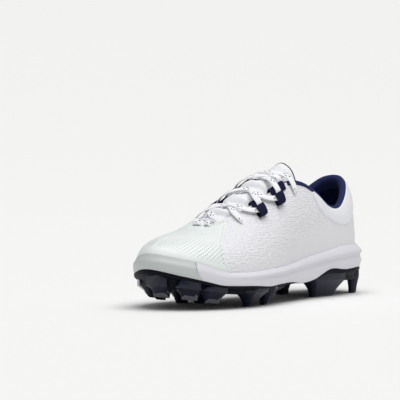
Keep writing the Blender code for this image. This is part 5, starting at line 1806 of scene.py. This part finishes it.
def stitch_tree():
    """Sets a bead of thread at every stitch along a line."""
    tree, given = new_tree("lockstitch", Pitch="Float", Length="Float", Radius="Float", Thread="Material")
    path = add(tree, "GeometryNodeMeshToCurve", {"Mesh": given.outputs["Geometry"]})
    pitch = {"Curve": path.outputs[0], "Length": given.outputs["Pitch"]}
    spaced = add(tree, "GeometryNodeResampleCurve", pitch, mode="LENGTH")
    ball = add(tree, "GeometryNodeMeshUVSphere", {"Segments": 8, "Rings": 5, "Radius": 1.0})
    measures = {"X": given.outputs["Length"], "Y": given.outputs["Radius"], "Z": given.outputs["Radius"]}
    size = add(tree, "ShaderNodeCombineXYZ", measures)
    bead = add(tree, "GeometryNodeTransform", {"Geometry": ball.outputs[0], "Scale": size.outputs[0]})
    tangent = add(tree, "GeometryNodeInputTangent")
    normal = add(tree, "GeometryNodeInputNamedAttribute", {"Name": "normal"}, data_type="FLOAT_VECTOR")
    turn = add(tree, "FunctionNodeAlignRotationToVector", {"Vector": tangent.outputs[0]}, axis="X")
    upright = {"Rotation": turn.outputs[0], "Vector": normal.outputs[0]}
    facing = add(tree, "FunctionNodeAlignRotationToVector", upright, axis="Z", pivot_axis="X")
    spots = {"Points": spaced.outputs[0], "Instance": bead.outputs[0], "Rotation": facing.outputs[0]}
    placed = add(tree, "GeometryNodeInstanceOnPoints", spots)
    real = add(tree, "GeometryNodeRealizeInstances", {"Geometry": placed.outputs[0]})
    smooth = add(tree, "GeometryNodeSetShadeSmooth", {"Geometry": real.outputs[0]})
    sewn = {"Geometry": smooth.outputs[0], "Material": given.outputs["Thread"]}
    done = add(tree, "GeometryNodeSetMaterial", sewn)
    add(tree, "NodeGroupOutput", {"Geometry": done.outputs[0]})
    return tree


lockstitch = stitch_tree()
print(lockstitch.name, len(lockstitch.nodes), "nodes")


def stitched(name, at, up, lift):
    """A row of stitches over the last, along these places."""
    normals = outward_normals(at, up)
    links = [(i, i + 1) for i in range(len(at) - 1)]
    row = marked_points(name, last(at, up) + normals * lift, links, normal=normals)
    measures = {"Pitch": STITCH_PITCH * MM, "Length": STITCH_HALF * MM, "Radius": STITCH_RADIUS * MM}
    grown(row, lockstitch, Thread=thread, **measures)
    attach(row, "root")
    print(name, len(row.data.polygons), "faces")


# %% Sew the seams
SEAM_INSET = 2.2
THROAT_SEAM = (0.785, 0.845)
THROAT_SEAM_DOWN = 1.6
FILM_SEAM = (0.03, 0.93)
seam_levels = np.linspace(*FILM_SEAM, 60)
seam_lines = np.array([vamp_line(level) for level in seam_levels])
for side, word in ((1, "lateral"), (-1, "medial")):
    share = np.interp(arc_length(seam_lines) + SEAM_INSET, FINE_RUN, FINE_SHARES)
    low = vamp_foot(share)
    up = low + (PANEL_TOP - low) * seam_levels
    stitched(f"film_seam_{word}", share * side, up, FILM_FACE)
    share = np.linspace(*THROAT_SEAM, 40)
    up = up_below_edge(share, THROAT_SEAM_DOWN) - (1 - PANEL_TOP)
    stitched(f"throat_seam_{word}", share * side, up, FILM_FACE)

# %% [markdown]
# ## Studio
# The shoe stands on a plain pale floor that runs to the horizon. A wide, soft sun from above and the outer
# side models its form, a bright sky fills the shadows, and a large lamp overhead brightens the floor.

# %% Floor
# Fibres of the paper to a metre
PAPER_TOOTH = 900.0


def paper_floor():
    """Matte studio paper: a fine tooth and no gloss."""
    look = {"Base_Color": linear("#F2F2F1"), "Roughness": 0.9}
    material, tree, shader, place = new_material("pale_studio_paper", **look)
    tooth = add(tree, "ShaderNodeTexNoise", {"Vector": place.outputs["Object"], "Scale": PAPER_TOOTH})
    relief = {"Height": tooth.outputs["Fac"], "Strength": 0.05, "Distance": FINE_RELIEF * MM}
    bump = add(tree, "ShaderNodeBump", relief)
    tree.links.new(bump.outputs[0], shader.inputs["Normal"])
    return material


FLOOR_RADIUS = 90.0
FLOOR_SIDES = 64
turns = np.linspace(0, 2 * math.pi, FLOOR_SIDES, endpoint=False)
rim_points = np.column_stack([np.cos(turns), np.sin(turns), np.zeros(FLOOR_SIDES)]) * FLOOR_RADIUS
paper = bpy.data.meshes.new("studio_floor")
paper.from_pydata(rim_points.tolist(), [], [tuple(range(FLOOR_SIDES))])
paper.materials.append(paper_floor())
studio_floor = bpy.data.objects.new("studio_floor", paper)
bpy.context.scene.collection.objects.link(studio_floor)
print("floor radius", FLOOR_RADIUS, "m")


# %% Lights
def lamp(name, kind, place, target, **settings):
    """A lamp that looks at a target."""
    light = bpy.data.lights.new(name, kind)
    for key, value in settings.items():
        setattr(light, key, value)
    made = bpy.data.objects.new(name, light)
    made.location = place
    made.rotation_euler = (Vector(target) - Vector(place)).to_track_quat("-Z", "Y").to_euler()
    bpy.context.scene.collection.objects.link(made)


world = bpy.data.worlds.new("studio")
bpy.context.scene.world = world
world.use_nodes = True
sky = world.node_tree.nodes["Background"]
sky.inputs["Color"].default_value = linear("#FBFBFB")
sky.inputs["Strength"].default_value = 0.33
lamp("soft_sun", "SUN", (0.1, 0.45, 1.9), (0, 0, 0), energy=2.35, angle=math.radians(60))
lamp("overhead", "AREA", (0.0, 0.0, 2.2), (0, 0, 0), energy=1.0, shape="DISK", size=1.6)
bpy.context.scene.view_settings.view_transform = "Standard"
print("lamps:", ", ".join(light.name for light in bpy.data.lights))
